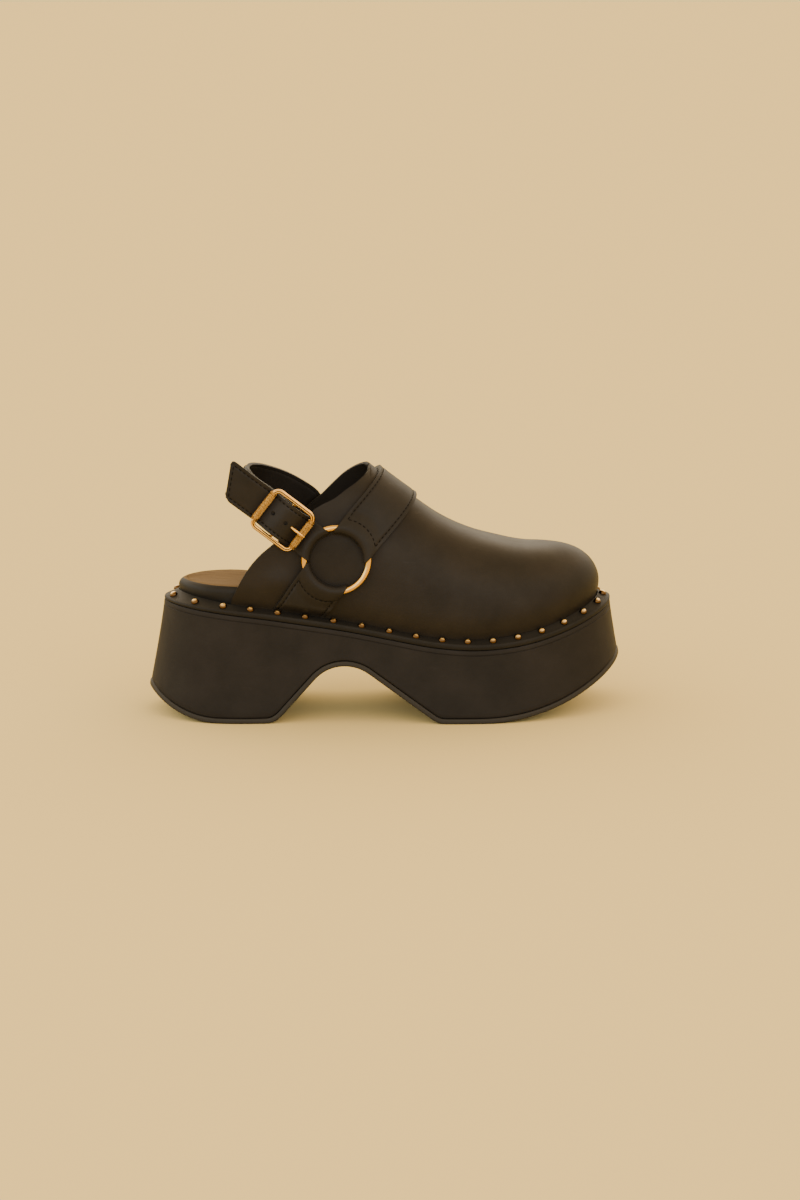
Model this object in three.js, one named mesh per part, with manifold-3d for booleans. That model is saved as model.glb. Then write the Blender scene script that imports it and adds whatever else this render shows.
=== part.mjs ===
// A platform clog for the right foot, in millimetres.
// X runs from heel to toe, Y to the inner (medial) side, Z up. The origin is on the floor, at the middle of
// the heel's flat tread.
import * as THREE from "three";
import { mergeVertices } from "three/addons/utils/BufferGeometryUtils.js";
import Module from "manifold-3d";

const wasm = await Module();
wasm.setup();

// Clearance between two pieces that touch
const gap = 0.3;

// Overall sizes of the top of the platform, which carries the nailed strip
const topLength = 260;
const ballWidth = 90;
const heelBack = 40.5;
const heelHeight = 65.6;
const ballHeight = 42;
const toeRise = 18.6;

// How far the walls of the platform lean out towards the floor, as a slope
const sideFlare = 0.09;
const endFlare = 0.185;

// Tread of the sole, seen from the side
const heelFlatBack = 10;
const heelFlatFront = 16;
const heelRockerRadius = 62;
const archHeight = 39.9;
const archCrownRadius = 23;
const archFootRadius = 13;
const toeRockerRadius = 141;
const outsoleThickness = 3;
const outsoleProud = 0.5;

// Nailed strip, footbed and upper
const stripWidth = 5.2;
const stripWidthAtHeel = 6.2;
const stripWidthAtToe = 7.2;
const stripEdgeRadius = 1;
const footbedThickness = 14.6;
const footbedRoll = 4.5;
const footbedClearAtHeel = 0.75;
const footbedClearAtToe = 1.4;
const seatDish = 0.8;
const upperWall = 2.2;
const upperBulge = 2.4;
const bulgeHeight = 14;
const instepHeight = 95;
const toeRoundness = 2.95;
const instepRoundness = 2.3;

// Plan of the platform's top. along is a share of topLength from the heel's back, and the two sides are
// shares of ballWidth from the line through heel and second toe.
const PLAN = [
  { along: 0.012, lateral: 0.128, medial: 0.128 },
  { along: 0.042, lateral: 0.25, medial: 0.25 },
  { along: 0.085, lateral: 0.343, medial: 0.338 },
  { along: 0.15, lateral: 0.4, medial: 0.385 },
  { along: 0.25, lateral: 0.412, medial: 0.372 },
  { along: 0.36, lateral: 0.425, medial: 0.35 },
  { along: 0.46, lateral: 0.457, medial: 0.353 },
  { along: 0.56, lateral: 0.503, medial: 0.395 },
  { along: 0.65, lateral: 0.53, medial: 0.452 },
  { along: 0.73, lateral: 0.528, medial: 0.476 },
  { along: 0.8, lateral: 0.493, medial: 0.475 },
  { along: 0.865, lateral: 0.425, medial: 0.445 },
  { along: 0.92, lateral: 0.333, medial: 0.388 },
  { along: 0.96, lateral: 0.235, medial: 0.315 },
  { along: 0.987, lateral: 0.115, medial: 0.215 },
];
const TOE_TIP = { along: 1, across: 0.055 };

// Height of the platform's top. heel is a share of the rise from ball to heel, toe a share of the toe's rise.
const TOP_LINE = [
  { along: 0, heel: 1, toe: 0 },
  { along: 0.1, heel: 0.9, toe: 0 },
  { along: 0.2, heel: 0.767, toe: 0 },
  { along: 0.3, heel: 0.6, toe: 0 },
  { along: 0.4, heel: 0.43, toe: 0 },
  { along: 0.5, heel: 0.23, toe: 0 },
  { along: 0.6, heel: 0.05, toe: 0 },
  { along: 0.7, heel: 0, toe: 0 },
  { along: 0.8, heel: 0, toe: 0.15 },
  { along: 0.9, heel: 0, toe: 0.495 },
  { along: 1, heel: 0, toe: 1 },
];

// Thickness of the footbed as a share of its greatest, which keeps its seat level over the falling platform.
const FOOTBED = [
  { along: 0.03, thick: 0.78 },
  { along: 0.1, thick: 0.86 },
  { along: 0.18, thick: 0.98 },
  { along: 0.26, thick: 1 },
  { along: 0.4, thick: 0.76 },
  { along: 0.55, thick: 0.6 },
  { along: 0.98, thick: 0.5 },
];

// Height of the nailed strip at its outer edge and where it meets the upper, in mm
const STRIP = [
  { along: 0, edge: 1.8, inner: 6 },
  { along: 0.12, edge: 2.6, inner: 5.4 },
  { along: 0.24, edge: 3.4, inner: 5 },
  { along: 0.6, edge: 3.4, inner: 5 },
  { along: 0.8, edge: 3.2, inner: 6 },
  { along: 1, edge: 2.8, inner: 7.2 },
];

// Corners of the arch and the forefoot's flat, as shares of the tread's length from its back
const ARCH = { breast: 0.257, peak: 0.392, ball: 0.597 };
const FOREFOOT_FLAT_END = 0.688;

// Crown line of the last, as shares of instepHeight above the platform's top. Behind the throat it is the
// last's own line, which the collar cuts away.
const CROWN = [
  { along: 0.0, up: 1.16 },
  { along: 0.12, up: 1.18 },
  { along: 0.24, up: 1.18 },
  { along: 0.34, up: 1.13 },
  { along: 0.4, up: 1.065 },
  { along: 0.455, up: 0.99 },
  { along: 0.5, up: 0.912 },
  { along: 0.56, up: 0.818 },
  { along: 0.62, up: 0.724 },
  { along: 0.69, up: 0.642 },
  { along: 0.75, up: 0.585 },
  { along: 0.785, up: 0.55 },
  { along: 0.8175, up: 0.522 },
];
const TOE_POLE = { along: 0.8175, across: 0.03 };

// Collar, as the side view shows it: along is a share of topLength, up a share of instepHeight above the
// platform's top
const COLLAR_LATERAL = [
  { along: 0.142, up: -0.05 },
  { along: 0.1467, up: 0.075 },
  { along: 0.159, up: 0.157 },
  { along: 0.1724, up: 0.232 },
  { along: 0.19, up: 0.31 },
  { along: 0.2105, up: 0.38 },
  { along: 0.2305, up: 0.434 },
  { along: 0.27, up: 0.535 },
  { along: 0.3, up: 0.617 },
  { along: 0.331, up: 0.7 },
  { along: 0.349, up: 0.735 },
  { along: 0.3745, up: 0.778 },
  { along: 0.4, up: 0.837 },
  { along: 0.43, up: 0.902 },
  { along: 0.453, up: 0.964 },
  { along: 0.468, up: 1.03 },
];
const COLLAR_MEDIAL = [
  { along: 0.162, up: -0.05 },
  { along: 0.1705, up: 0.05 },
  { along: 0.1825, up: 0.112 },
  { along: 0.2, up: 0.184 },
  { along: 0.2205, up: 0.255 },
  { along: 0.2405, up: 0.312 },
  { along: 0.26, up: 0.375 },
  { along: 0.283, up: 0.475 },
  { along: 0.309, up: 0.578 },
  { along: 0.332, up: 0.65 },
  { along: 0.353, up: 0.707 },
  { along: 0.383, up: 0.807 },
  { along: 0.408, up: 0.886 },
  { along: 0.436, up: 0.953 },
  { along: 0.468, up: 1.03 },
];

// Harness: straps, rings and buckle
const harnessThickness = 2.6;
const instepStrapWidth = 26;
const lowerStrapWidth = 27;
const slingWidth = 20.5;
const slingThickness = 2;
const ringRadius = 18.2;
const ringWire = 3.6;
const rollThickness = 1.2;
const ringLift = 3.5;
const instepStrapRise = 46.5;
const lowerStrapFall = 55.5;
const slingTilt = 38;
const buckleFromRing = 38.5;
const buckleLength = 31;
const buckleWidth = 27.5;
const buckleWire = 2.6;
const buckleCorner = 3.6;
const sleeveLength = 19.5;
const sleeveRadius = 2.1;
const prongWire = 1.8;
const holeRadius = 1.4;
const holeSpacing = 8.8;

// Middle of each ring in the side view: from the heel's back, and above the platform's top. The inner side
// of the instep is the higher one.
const RINGS = {
  lateral: { forward: 98, up: 40.2 },
  medial: { forward: 101.3, up: 44.2 },
};

// Slingback's middle line from above, in the plane of its tilt: back from the buckle's middle bar as a share
// of loopDepth, and across as a share of the distance out to the ring's wire
const loopDepth = 29;
const LOOP = [
  { back: 0.03, across: -1.015, lift: 0 },
  { back: 0.2, across: -0.96, lift: 0 },
  { back: 0.46, across: -0.912, lift: 0 },
  { back: 0.66, across: -0.86, lift: -0.5 },
  { back: 0.83, across: -0.75, lift: -1.2 },
  { back: 0.98, across: -0.5, lift: -1.9 },
  { back: 1.02, across: -0.2, lift: -2.1 },
  { back: 0.95, across: 0.08, lift: -1.2 },
  { back: 0.78, across: 0.38, lift: 0.4 },
  { back: 0.52, across: 0.62, lift: 2.4 },
  { back: 0.2, across: 0.8, lift: 4.2 },
  { back: -0.15, across: 0.92, lift: 5 },
  { back: -0.46, across: 0.99, lift: 5.2 },
  { back: -0.64, across: 1, lift: 5.2 },
];

// Buckle strap's middle line: forward of the buckle's middle bar, and out from the ring's wire, in mm
const BUCKLE_STRAP = [
  { forward: 17, out: -0.9 },
  { forward: 13.5, out: -0.9 },
  { forward: 9.5, out: 0.5 },
  { forward: 5.5, out: 3 },
  { forward: 2, out: 4.4 },
  { forward: -2, out: 4.4 },
  { forward: -5.5, out: 3 },
  { forward: -9.5, out: 0.6 },
  { forward: -13.5, out: -0.8 },
  { forward: -20, out: -0.2 },
  { forward: -30, out: 0.8 },
  { forward: -46, out: 1 },
];
const tipTop = 44;
const tipBottom = 33;
const tipCorner = 3.2;
const frameOut = 2.6;
const middleBarOut = 1;
const middleBarRadius = 1.1;

// Nails
const nailRadius = 2.25;
const nailHeight = 1.9;
const nailInset = 0.6;
const nailLift = 0.12;
const nailPhase = 0.38;

// Distance from nail to nail, in mm
const NAIL_PITCH = [
  { along: 0, pitch: 23.8 },
  { along: 0.06, pitch: 21.5 },
  { along: 0.13, pitch: 17.2 },
  { along: 0.2, pitch: 15.6 },
  { along: 0.34, pitch: 16.1 },
  { along: 0.48, pitch: 15.9 },
  { along: 0.58, pitch: 15.0 },
  { along: 0.8, pitch: 15.2 },
  { along: 0.93, pitch: 15.9 },
  { along: 1, pitch: 16.8 },
];

// Value of one column of a table at a place, on a smooth curve through its rows.
function column(rows, key, along) {
  const last = rows.length - 1;
  if (along <= rows[0].along) return rows[0][key];
  if (along >= rows[last].along) return rows[last][key];
  const i = rows.findIndex((row) => row.along > along) - 1;
  const slope = (j) => {
    const before = rows[Math.max(j - 1, 0)];
    const after = rows[Math.min(j + 1, last)];
    return (after[key] - before[key]) / (after.along - before.along);
  };
  const width = rows[i + 1].along - rows[i].along;
  const t = (along - rows[i].along) / width;
  const a = rows[i][key];
  const b = rows[i + 1][key];
  const ease = t * t * (3 - 2 * t);
  const rise = t * (1 - t) * width * ((1 - t) * slope(i) - t * slope(i + 1));
  return a + (b - a) * ease + rise;
}

const lengthAt = (along) => along * topLength - heelBack;
const alongAt = (x) => (x + heelBack) / topLength;

// Height of the platform's top face, which is straight from side to side.
function topOfPlatform(x) {
  const along = alongAt(x);
  const heel = column(TOP_LINE, "heel", along) * (heelHeight - ballHeight);
  return ballHeight + heel + column(TOP_LINE, "toe", along) * toeRise;
}

// Plan of the platform's top as a closed curve, counter-clockwise from the heel's back.
const lateralSide = PLAN.map((row) => [lengthAt(row.along), -row.lateral * ballWidth]);
const medialSide = PLAN.map((row) => [lengthAt(row.along), row.medial * ballWidth]).reverse();
const planCurve = new THREE.CatmullRomCurve3(
  [
    [-heelBack, 0],
    ...lateralSide,
    [lengthAt(TOE_TIP.along), TOE_TIP.across * ballWidth],
    ...medialSide,
  ].map(([x, y]) => new THREE.Vector3(x, y, 0)),
  true,
  "centripetal",
);
planCurve.arcLengthDivisions = 2000;

// One place on the plan: the point and the direction that faces outwards there.
function planAt(share) {
  const point = planCurve.getPointAt(((share % 1) + 1) % 1);
  const along = planCurve.getTangentAt(((share % 1) + 1) % 1);
  return { x: point.x, y: point.y, nx: along.y, ny: -along.x };
}

// The plan moved in or out by a distance that may change along it, as a ring of points.
function planRing(count, outward) {
  return Array.from({ length: count }, (_, i) => {
    const p = planAt(i / count);
    const d = outward(p);
    return [p.x + p.nx * d, p.y + p.ny * d];
  });
}

// A smooth step from 0 to 1 between two places.
const between = (from, to, x) => THREE.MathUtils.smoothstep(x, from, to);

const quarterBack = lengthAt(COLLAR_LATERAL[0].along);
const heelBlend = 14;

// Width of the nailed strip outside the upper: wider round the bare heel and the toe.
const stripWidthAt = (x) =>
  stripWidth +
  (stripWidthAtHeel - stripWidth) * (1 - between(-heelBack, quarterBack, x)) +
  (stripWidthAtToe - stripWidth) * between(lengthAt(0.86), lengthAt(0.99), x);

// Distance from the plan in to the upper's foot, and from there in to the footbed, which fills the upper's
// own thickness round the bare heel.
const upperFootInset = (x) => stripWidthAt(x) + gap;
const stripInset = (x) =>
  stripWidthAt(x) + (upperWall + gap) * (1 - between(quarterBack - heelBlend, quarterBack - 1, x));
const footbedInset = (x) =>
  upperFootInset(x) +
  upperWall +
  THREE.MathUtils.lerp(footbedClearAtHeel, footbedClearAtToe, between(quarterBack, lengthAt(0.9), x));

// Solids from triangles, and back to a geometry

function solidOf(geometry) {
  const bare = geometry.clone();
  bare.deleteAttribute("normal");
  bare.deleteAttribute("uv");
  const merged = mergeVertices(bare, 1e-4);
  const vertProperties = merged.attributes.position.array;
  const triVerts = new Uint32Array(merged.index.array);
  const made = new wasm.Manifold(new wasm.Mesh({ numProp: 3, vertProperties, triVerts }));
  if (made.volume() > 0) return made;
  return new wasm.Manifold(
    new wasm.Mesh({ numProp: 3, vertProperties, triVerts: triVerts.slice().reverse() }),
  );
}

function geometryOf(solid) {
  const mesh = solid.getMesh();
  const geometry = new THREE.BufferGeometry();
  geometry.setAttribute("position", new THREE.BufferAttribute(mesh.vertProperties, 3));
  geometry.setIndex(new THREE.BufferAttribute(mesh.triVerts, 1));
  return geometry;
}

// Collects triangles of points and makes one closed solid of them.
class Skin {
  constructor() {
    this.corners = [];
  }
  triangle(a, b, c) {
    this.corners.push(...a, ...b, ...c);
  }
  quad(a, b, c, d) {
    this.triangle(a, b, c);
    this.triangle(a, c, d);
  }
  solid() {
    const geometry = new THREE.BufferGeometry();
    geometry.setAttribute("position", new THREE.Float32BufferAttribute(this.corners, 3));
    return solidOf(geometry);
  }
}

// Fills the space between two chains of points that both run from heel to toe, facing up.
function zip(skin, lateral, medial, flip) {
  let i = 0;
  let j = 0;
  const place = (a, b, c) => (flip ? skin.triangle(a, c, b) : skin.triangle(a, b, c));
  while (i < lateral.length - 1 || j < medial.length - 1) {
    const lateralNext = i < lateral.length - 1 ? lateral[i + 1][0] : Infinity;
    const medialNext = j < medial.length - 1 ? medial[j + 1][0] : Infinity;
    if (lateralNext <= medialNext) {
      place(lateral[i], lateral[i + 1], medial[j]);
      i += 1;
    } else {
      place(lateral[i], medial[j + 1], medial[j]);
      j += 1;
    }
  }
}

// The two sides of a ring, each from its heel to its toe.
function sidesOf(ring) {
  const toe = ring.reduce((best, p, i) => (p[0] > ring[best][0] ? i : best), 0);
  return [ring.slice(0, toe + 1), [ring[0], ...ring.slice(toe).reverse()]];
}

// A solid through rings of points, from the lowest to the highest, closed by faces across both ends.
function ringSolid(rings, spine) {
  const skin = new Skin();
  for (let k = 0; k < rings.length - 1; k += 1) {
    rings[k].forEach((point, i) => {
      const next = (i + 1) % rings[k].length;
      skin.quad(point, rings[k][next], rings[k + 1][next], rings[k + 1][i]);
    });
  }
  const [lowLateral, lowMedial] = sidesOf(rings[0]);
  zip(skin, lowLateral, lowMedial, true);
  const [lateral, medial] = sidesOf(rings[rings.length - 1]);
  if (spine) {
    const line = [lateral[0], ...spine, lateral[lateral.length - 1]];
    zip(skin, lateral, line, false);
    zip(skin, line, medial, false);
  } else {
    zip(skin, lateral, medial, false);
  }
  return skin.solid();
}

// A solid that is one shape in the side view, straight across the shoe.
function sidePrism(points, fromY, toY) {
  const shape = new THREE.Shape(points.map(([x, z]) => new THREE.Vector2(x, z)));
  const geometry = new THREE.ExtrudeGeometry(shape, { depth: toY - fromY, bevelEnabled: false });
  geometry.rotateX(Math.PI / 2);
  geometry.translate(0, toY, 0);
  return solidOf(geometry);
}

// Tread line of the sole in the side view: lines and arcs from the heel's back to the toe.

const reach = heelHeight * endFlare;
const treadBack = -heelBack - reach;
const treadFront = lengthAt(1) + reach;
const treadAt = (share) => THREE.MathUtils.lerp(-heelBack - 8, lengthAt(1) + 5, share);

// Points along a rounded corner at b, between the straight lines to a and c.
function roundedCorner(a, b, c, radius, steps) {
  const [A, B, C] = [a, b, c].map(([x, z]) => new THREE.Vector2(x, z));
  const toA = A.clone().sub(B).normalize();
  const toC = C.clone().sub(B).normalize();
  const half = Math.acos(toA.dot(toC)) / 2;
  const start = B.clone().addScaledVector(toA, radius / Math.tan(half));
  const end = B.clone().addScaledVector(toC, radius / Math.tan(half));
  const middle = toA.clone().add(toC).normalize();
  const centre = B.clone().addScaledVector(middle, radius / Math.sin(half));
  const from = start.clone().sub(centre).angle();
  let turn = end.clone().sub(centre).angle() - from;
  if (turn > Math.PI) turn -= 2 * Math.PI;
  if (turn < -Math.PI) turn += 2 * Math.PI;
  return Array.from({ length: steps + 1 }, (_, i) => {
    const angle = from + (turn * i) / steps;
    return [centre.x + radius * Math.cos(angle), centre.y + radius * Math.sin(angle)];
  });
}

// An arc that leaves the floor at x and curves up towards the given side, to a given reach.
function rocker(x, radius, direction, reachTo, steps) {
  const full = Math.asin(Math.min(1, Math.abs(reachTo - x) / radius));
  return Array.from({ length: steps + 1 }, (_, i) => {
    const angle = (full * i) / steps;
    return [x + direction * radius * Math.sin(angle), radius * (1 - Math.cos(angle))];
  });
}

const breast = [treadAt(ARCH.breast), 0];
const peak = [treadAt(ARCH.peak), archHeight];
const ball = [treadAt(ARCH.ball), 0];
const forefootFlatEnd = treadAt(FOREFOOT_FLAT_END);
const treadLine = [
  ...rocker(-heelFlatBack, heelRockerRadius, -1, treadBack, 7).reverse(),
  ...roundedCorner([heelFlatFront - archFootRadius, 0], breast, peak, archFootRadius, 4),
  ...roundedCorner(breast, peak, ball, archCrownRadius, 10),
  ...roundedCorner(peak, ball, [forefootFlatEnd, 0], archFootRadius, 4),
  ...rocker(forefootFlatEnd, toeRockerRadius, 1, treadFront, 10),
];

// The tread line moved up into the sole.
function raised(line, distance) {
  return line.map((point, i) => {
    const before = line[Math.max(i - 1, 0)];
    const after = line[Math.min(i + 1, line.length - 1)];
    const run = Math.hypot(after[0] - before[0], after[1] - before[1]);
    const nx = -(after[1] - before[1]) / run;
    const nz = (after[0] - before[0]) / run;
    return [point[0] + nx * distance, point[1] + nz * distance];
  });
}

// The platform's block: its plan, leaning out towards the floor

const wallSteps = [0, 0.4, 0.7, 1];
const below = -4;
const planPoints = 64;
const flareCurve = 1.15;

function block(proud) {
  const rings = wallSteps.map((share) =>
    Array.from({ length: planPoints }, (_, i) => {
      const p = planAt(i / planPoints);
      const top = topOfPlatform(p.x);
      const z = THREE.MathUtils.lerp(top, below, share);
      const slope = THREE.MathUtils.lerp(sideFlare, endFlare, p.nx * p.nx);
      const out = slope * (top - below) * share ** flareCurve + proud;
      return [p.x + p.nx * out, p.y + p.ny * out, z];
    }),
  );
  return ringSolid(rings.reverse());
}

const aboveAll = heelHeight * 2;
const wide = ballWidth * 2;

function aboveLine(line) {
  const first = line[0];
  const last = line[line.length - 1];
  return sidePrism(
    [
      ...line,
      [last[0] + reach, last[1]],
      [last[0] + reach, aboveAll],
      [first[0] - reach, aboveAll],
      [first[0] - reach, first[1]],
    ],
    -wide,
    wide,
  );
}

const platform = block(0).intersect(aboveLine(raised(treadLine, outsoleThickness + gap)));
const outsole = block(outsoleProud)
  .intersect(aboveLine(treadLine))
  .subtract(aboveLine(raised(treadLine, outsoleThickness)));

// The nailed strip, a band laid on the platform's edge that slopes up towards the upper

function strip() {
  const count = 84;
  const level = (rise) => (p) => [p[0], p[1], topOfPlatform(p[0]) + gap + rise];
  const inner = planRing(count, (p) => -stripInset(p.x));
  const outer = planRing(count, () => 0);
  const shoulder = planRing(count, () => -stripEdgeRadius);
  const onTop = (key, drop) => (p) => level(column(STRIP, key, alongAt(p[0])) - drop)(p);
  const section = [
    inner.map(level(0)),
    outer.map(level(0)),
    outer.map(onTop("edge", stripEdgeRadius)),
    shoulder.map(onTop("edge", 0)),
    inner.map(onTop("inner", 0)),
  ];
  const skin = new Skin();
  section.forEach((ring, k) => {
    const above = section[(k + 1) % section.length];
    ring.forEach((point, i) => {
      const next = (i + 1) % count;
      skin.quad(point, ring[next], above[next], above[i]);
    });
  });
  return skin.solid();
}

// The footbed: a padded board with a rolled edge and a dished seat

function footbed() {
  const count = 64;
  const thick = (x) => column(FOOTBED, "thick", alongAt(x)) * footbedThickness;
  const level = (share, drop, inset) =>
    planRing(count, (p) => -footbedInset(p.x) - inset * footbedRoll).map(([x, y]) => [
      x,
      y,
      topOfPlatform(x) + gap + (thick(x) - drop * footbedRoll) * share,
    ]);
  const rings = [
    level(0, 0, 0),
    level(0.5, 0.7, -0.04),
    level(1, 0.75, 0),
    level(1, 0.3, 0.25),
    level(1, 0.08, 0.65),
    level(1, 0, 1.3),
  ];
  const spine = Array.from({ length: 22 }, (_, i) => {
    const along = THREE.MathUtils.lerp(0.08, 0.92, i / 21);
    const x = lengthAt(along);
    const middle = (column(PLAN, "medial", along) - column(PLAN, "lateral", along)) / 2;
    const dish = seatDish * Math.min(1, (along - 0.03) * 8, (0.97 - along) * 8);
    return [x, middle * ballWidth, topOfPlatform(x) + gap + thick(x) - dish];
  });
  return ringSolid(rings, spine);
}

// The last: ribs from the upper's foot to the crown line. Over the toe they meet in one pole.

const ribPoints = 10;
const ribSpacing = 1.3;
const bodyRibs = 15;
const toeRibs = 12;
const stripClearAt = (x) => column(STRIP, "inner", alongAt(x)) + gap;
const poleX = lengthAt(TOE_POLE.along);
const poleY = TOE_POLE.across * ballWidth;
const crownHeight = (x) => topOfPlatform(x) + column(CROWN, "up", alongAt(x)) * instepHeight;

const middleAt = (x) => poleY * between(lengthAt(0.4), poleX, x);
const roundnessAt = (x) =>
  THREE.MathUtils.lerp(instepRoundness, toeRoundness, between(lengthAt(0.45), poleX, x));

// Where the upper's foot crosses a ray in plan, from a point in a direction.
const footLine = (() => {
  const count = 360;
  return planRing(count, (p) => -upperFootInset(p.x));
})();

function footOnRay(fromX, fromY, dirX, dirY) {
  let best = null;
  footLine.forEach((a, i) => {
    const b = footLine[(i + 1) % footLine.length];
    const ex = b[0] - a[0];
    const ey = b[1] - a[1];
    const cross = dirX * ey - dirY * ex;
    if (Math.abs(cross) < 1e-9) return;
    const wx = a[0] - fromX;
    const wy = a[1] - fromY;
    const t = (wx * ey - wy * ex) / cross;
    const s = (wx * dirY - wy * dirX) / cross;
    if (t > 0 && s >= 0 && s <= 1 && (best === null || t > best)) best = t;
  });
  return best;
}

// One rib of the last, thickened by an offset: points from the foot up to the crown.
function rib(x, y, dirX, dirY, offset, footDrop) {
  const run = footOnRay(x, y, dirX, dirY);
  const footX = x + dirX * run;
  const foot = topOfPlatform(footX) + gap - footDrop;
  const stripClear = stripClearAt(footX);
  const dx = 1;
  const slope = x < poleX ? (crownHeight(x + dx) - crownHeight(x - dx)) / (2 * dx) : 0;
  const top = crownHeight(x) + offset * Math.hypot(1, slope);
  const roundness = roundnessAt(x);
  const low = Math.asin(((stripClear + footDrop) / (top - foot)) ** (roundness / 2));
  return Array.from({ length: ribPoints + 1 }, (_, i) => {
    const share = ((i - 1) / (ribPoints - 1)) ** ribSpacing;
    const angle = i === 0 ? 0 : THREE.MathUtils.lerp(low, Math.PI / 2, share);
    const out = Math.cos(angle) ** (2 / roundness);
    const up = Math.sin(angle) ** (2 / roundness);
    const z = foot + (top - foot) * up;
    const clear = Math.max(0, z - foot - footDrop - stripClear);
    const tuck = upperBulge * Math.max(0, 1 - clear / bulgeHeight) ** 2;
    const reachOut = i === ribPoints ? 0 : (run + upperBulge + offset) * out - tuck;
    return [x + dirX * reachOut, y + dirY * reachOut, z];
  });
}

const lastBack = lengthAt(0.1);

// The last as a closed solid, from a little behind the quarters to the toe.
function last(offset, footDrop = 0) {
  const ribs = [];
  const stations = Array.from({ length: bodyRibs }, (_, i) =>
    THREE.MathUtils.lerp(lastBack, poleX, i / (bodyRibs - 1)),
  );
  const lateral = stations.map((x) => rib(x, middleAt(x), 0, -1, offset, footDrop));
  const medial = stations.map((x) => rib(x, middleAt(x), 0, 1, offset, footDrop));
  for (let i = 1; i < toeRibs; i += 1) {
    const angle = -Math.PI / 2 + (Math.PI * i) / toeRibs;
    ribs.push(rib(poleX, poleY, Math.cos(angle), Math.sin(angle), offset, footDrop));
  }
  const all = [...lateral, ...ribs, ...medial.reverse()];
  const skin = new Skin();
  for (let k = 0; k < all.length - 1; k += 1) {
    for (let i = 0; i < ribPoints; i += 1) {
      const [a, b, c, d] = [all[k][i], all[k + 1][i], all[k + 1][i + 1], all[k][i + 1]];
      if (a[0] !== b[0] || a[1] !== b[1]) skin.triangle(a, b, c);
      if (c[0] !== d[0] || c[1] !== d[1]) skin.triangle(a, c, d);
    }
  }
  const first = all[0];
  const lastRib = all[all.length - 1];
  for (let i = 0; i < ribPoints; i += 1) {
    const [a, b, c, d] = [first[i], first[i + 1], lastRib[i + 1], lastRib[i]];
    skin.triangle(a, b, d);
    if (i < ribPoints - 1) skin.triangle(b, c, d);
  }
  const feet = all.map((points) => points[0]);
  const half = (feet.length - 1) / 2;
  const lateralFeet = feet.slice(0, Math.floor(half) + 1);
  const medialFeet = feet.slice(Math.floor(half)).reverse();
  zip(skin, lateralFeet, medialFeet, true);
  return skin.solid();
}

// What the collar cuts away, behind and above its line.
function collarCutter(rows, fromY, toY) {
  const curve = new THREE.CatmullRomCurve3(
    rows.map((row) => {
      const x = lengthAt(row.along);
      return new THREE.Vector3(x, 0, topOfPlatform(x) + row.up * instepHeight);
    }),
    false,
    "centripetal",
  );
  const line = curve.getPoints(26).map((p) => [p.x, p.z]);
  const farBack = -heelBack * 2;
  return sidePrism(
    [
      [farBack, line[0][1]],
      ...line,
      [line[line.length - 1][0], aboveAll * 2],
      [farBack, aboveAll * 2],
    ],
    fromY,
    toY,
  );
}

const cutAtCollar = (solid) =>
  solid
    .subtract(collarCutter(COLLAR_LATERAL, -wide, 0))
    .subtract(collarCutter(COLLAR_MEDIAL, 0, wide));

const upper = cutAtCollar(last(0).subtract(last(-upperWall, 1)));
const upperRoom = cutAtCollar(last(gap));

// Harness frames: each ring lies along the last's side, and the loop's frame is tilted in the side view

// Where the last's surface is at a place in the side view.
function sideAt(x, z, side) {
  const run = footOnRay(x, middleAt(x), 0, side);
  const foot = topOfPlatform(x) + gap;
  const up = (z - foot) / (crownHeight(x) - foot);
  const roundness = roundnessAt(x);
  const clear = z - foot - stripClearAt(x);
  const tuck = upperBulge * Math.max(0, 1 - clear / bulgeHeight) ** 2;
  const out = (1 - up ** roundness) ** (1 / roundness);
  return middleAt(x) + side * ((run + upperBulge) * out - tuck);
}

const radians = THREE.MathUtils.degToRad;
const sides = { lateral: -1, medial: 1 };
const ringAt = Object.fromEntries(
  Object.keys(sides).map((side) => {
    const x = RINGS[side].forward - heelBack;
    return [side, { x, z: topOfPlatform(x) + RINGS[side].up }];
  }),
);

// Frame of the ring on one side: its own Z points out of the shoe.
function ringFrame(name) {
  const { x, z } = ringAt[name];
  const side = sides[name];
  const step = ringRadius;
  const fx = (sideAt(x + step, z, side) - sideAt(x - step, z, side)) / (2 * step);
  const fz = (sideAt(x, z + step, side) - sideAt(x, z - step, side)) / (2 * step);
  const out = new THREE.Vector3(-fx, 1, -fz).multiplyScalar(side).normalize();
  const forward = new THREE.Vector3(1, 0, 0).addScaledVector(out, -out.x).normalize();
  const up = out.clone().cross(forward);
  const centre = new THREE.Vector3(x, sideAt(x, z, side), z).addScaledVector(out, ringLift);
  return new THREE.Matrix4().makeBasis(forward, up, out).setPosition(centre);
}

const frames = { lateral: ringFrame("lateral"), medial: ringFrame("medial") };

function torus(side, tube, round, along) {
  const geometry = new THREE.TorusGeometry(ringRadius, tube, round, along);
  return solidOf(geometry.applyMatrix4(frames[side]));
}

// A band in the side view, from a ring's middle in a direction, through one side of the shoe or both.
function band(side, angle, width, from, to, fromY, toY) {
  const d = [Math.cos(angle), Math.sin(angle)];
  const { x, z } = ringAt[side];
  const at = (run, across) => [x + d[0] * run - d[1] * across, z + d[1] * run + d[0] * across];
  const half = width / 2;
  return sidePrism([at(from, -half), at(to, -half), at(to, half), at(from, half)], fromY, toY);
}

// The share of a ring that a strap's fold may cover, as a fan from the ring's middle in the side view.
function fan(side, angle, width) {
  const half = Math.asin(width / 2 / ringRadius);
  const { x, z } = ringAt[side];
  const at = (turn) => [x + wide * Math.cos(angle + turn), z + wide * Math.sin(angle + turn)];
  return sidePrism([[x, z], at(-half), at(half)], -wide, wide);
}

const rollRadius = ringWire / 2 + gap + rollThickness;
const padLength = 13;
const padSlope = 0.5;
const harnessOuter = last(gap + harnessThickness);
const harnessInner = last(gap);
const harnessShell = harnessOuter.subtract(harnessInner);

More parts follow.
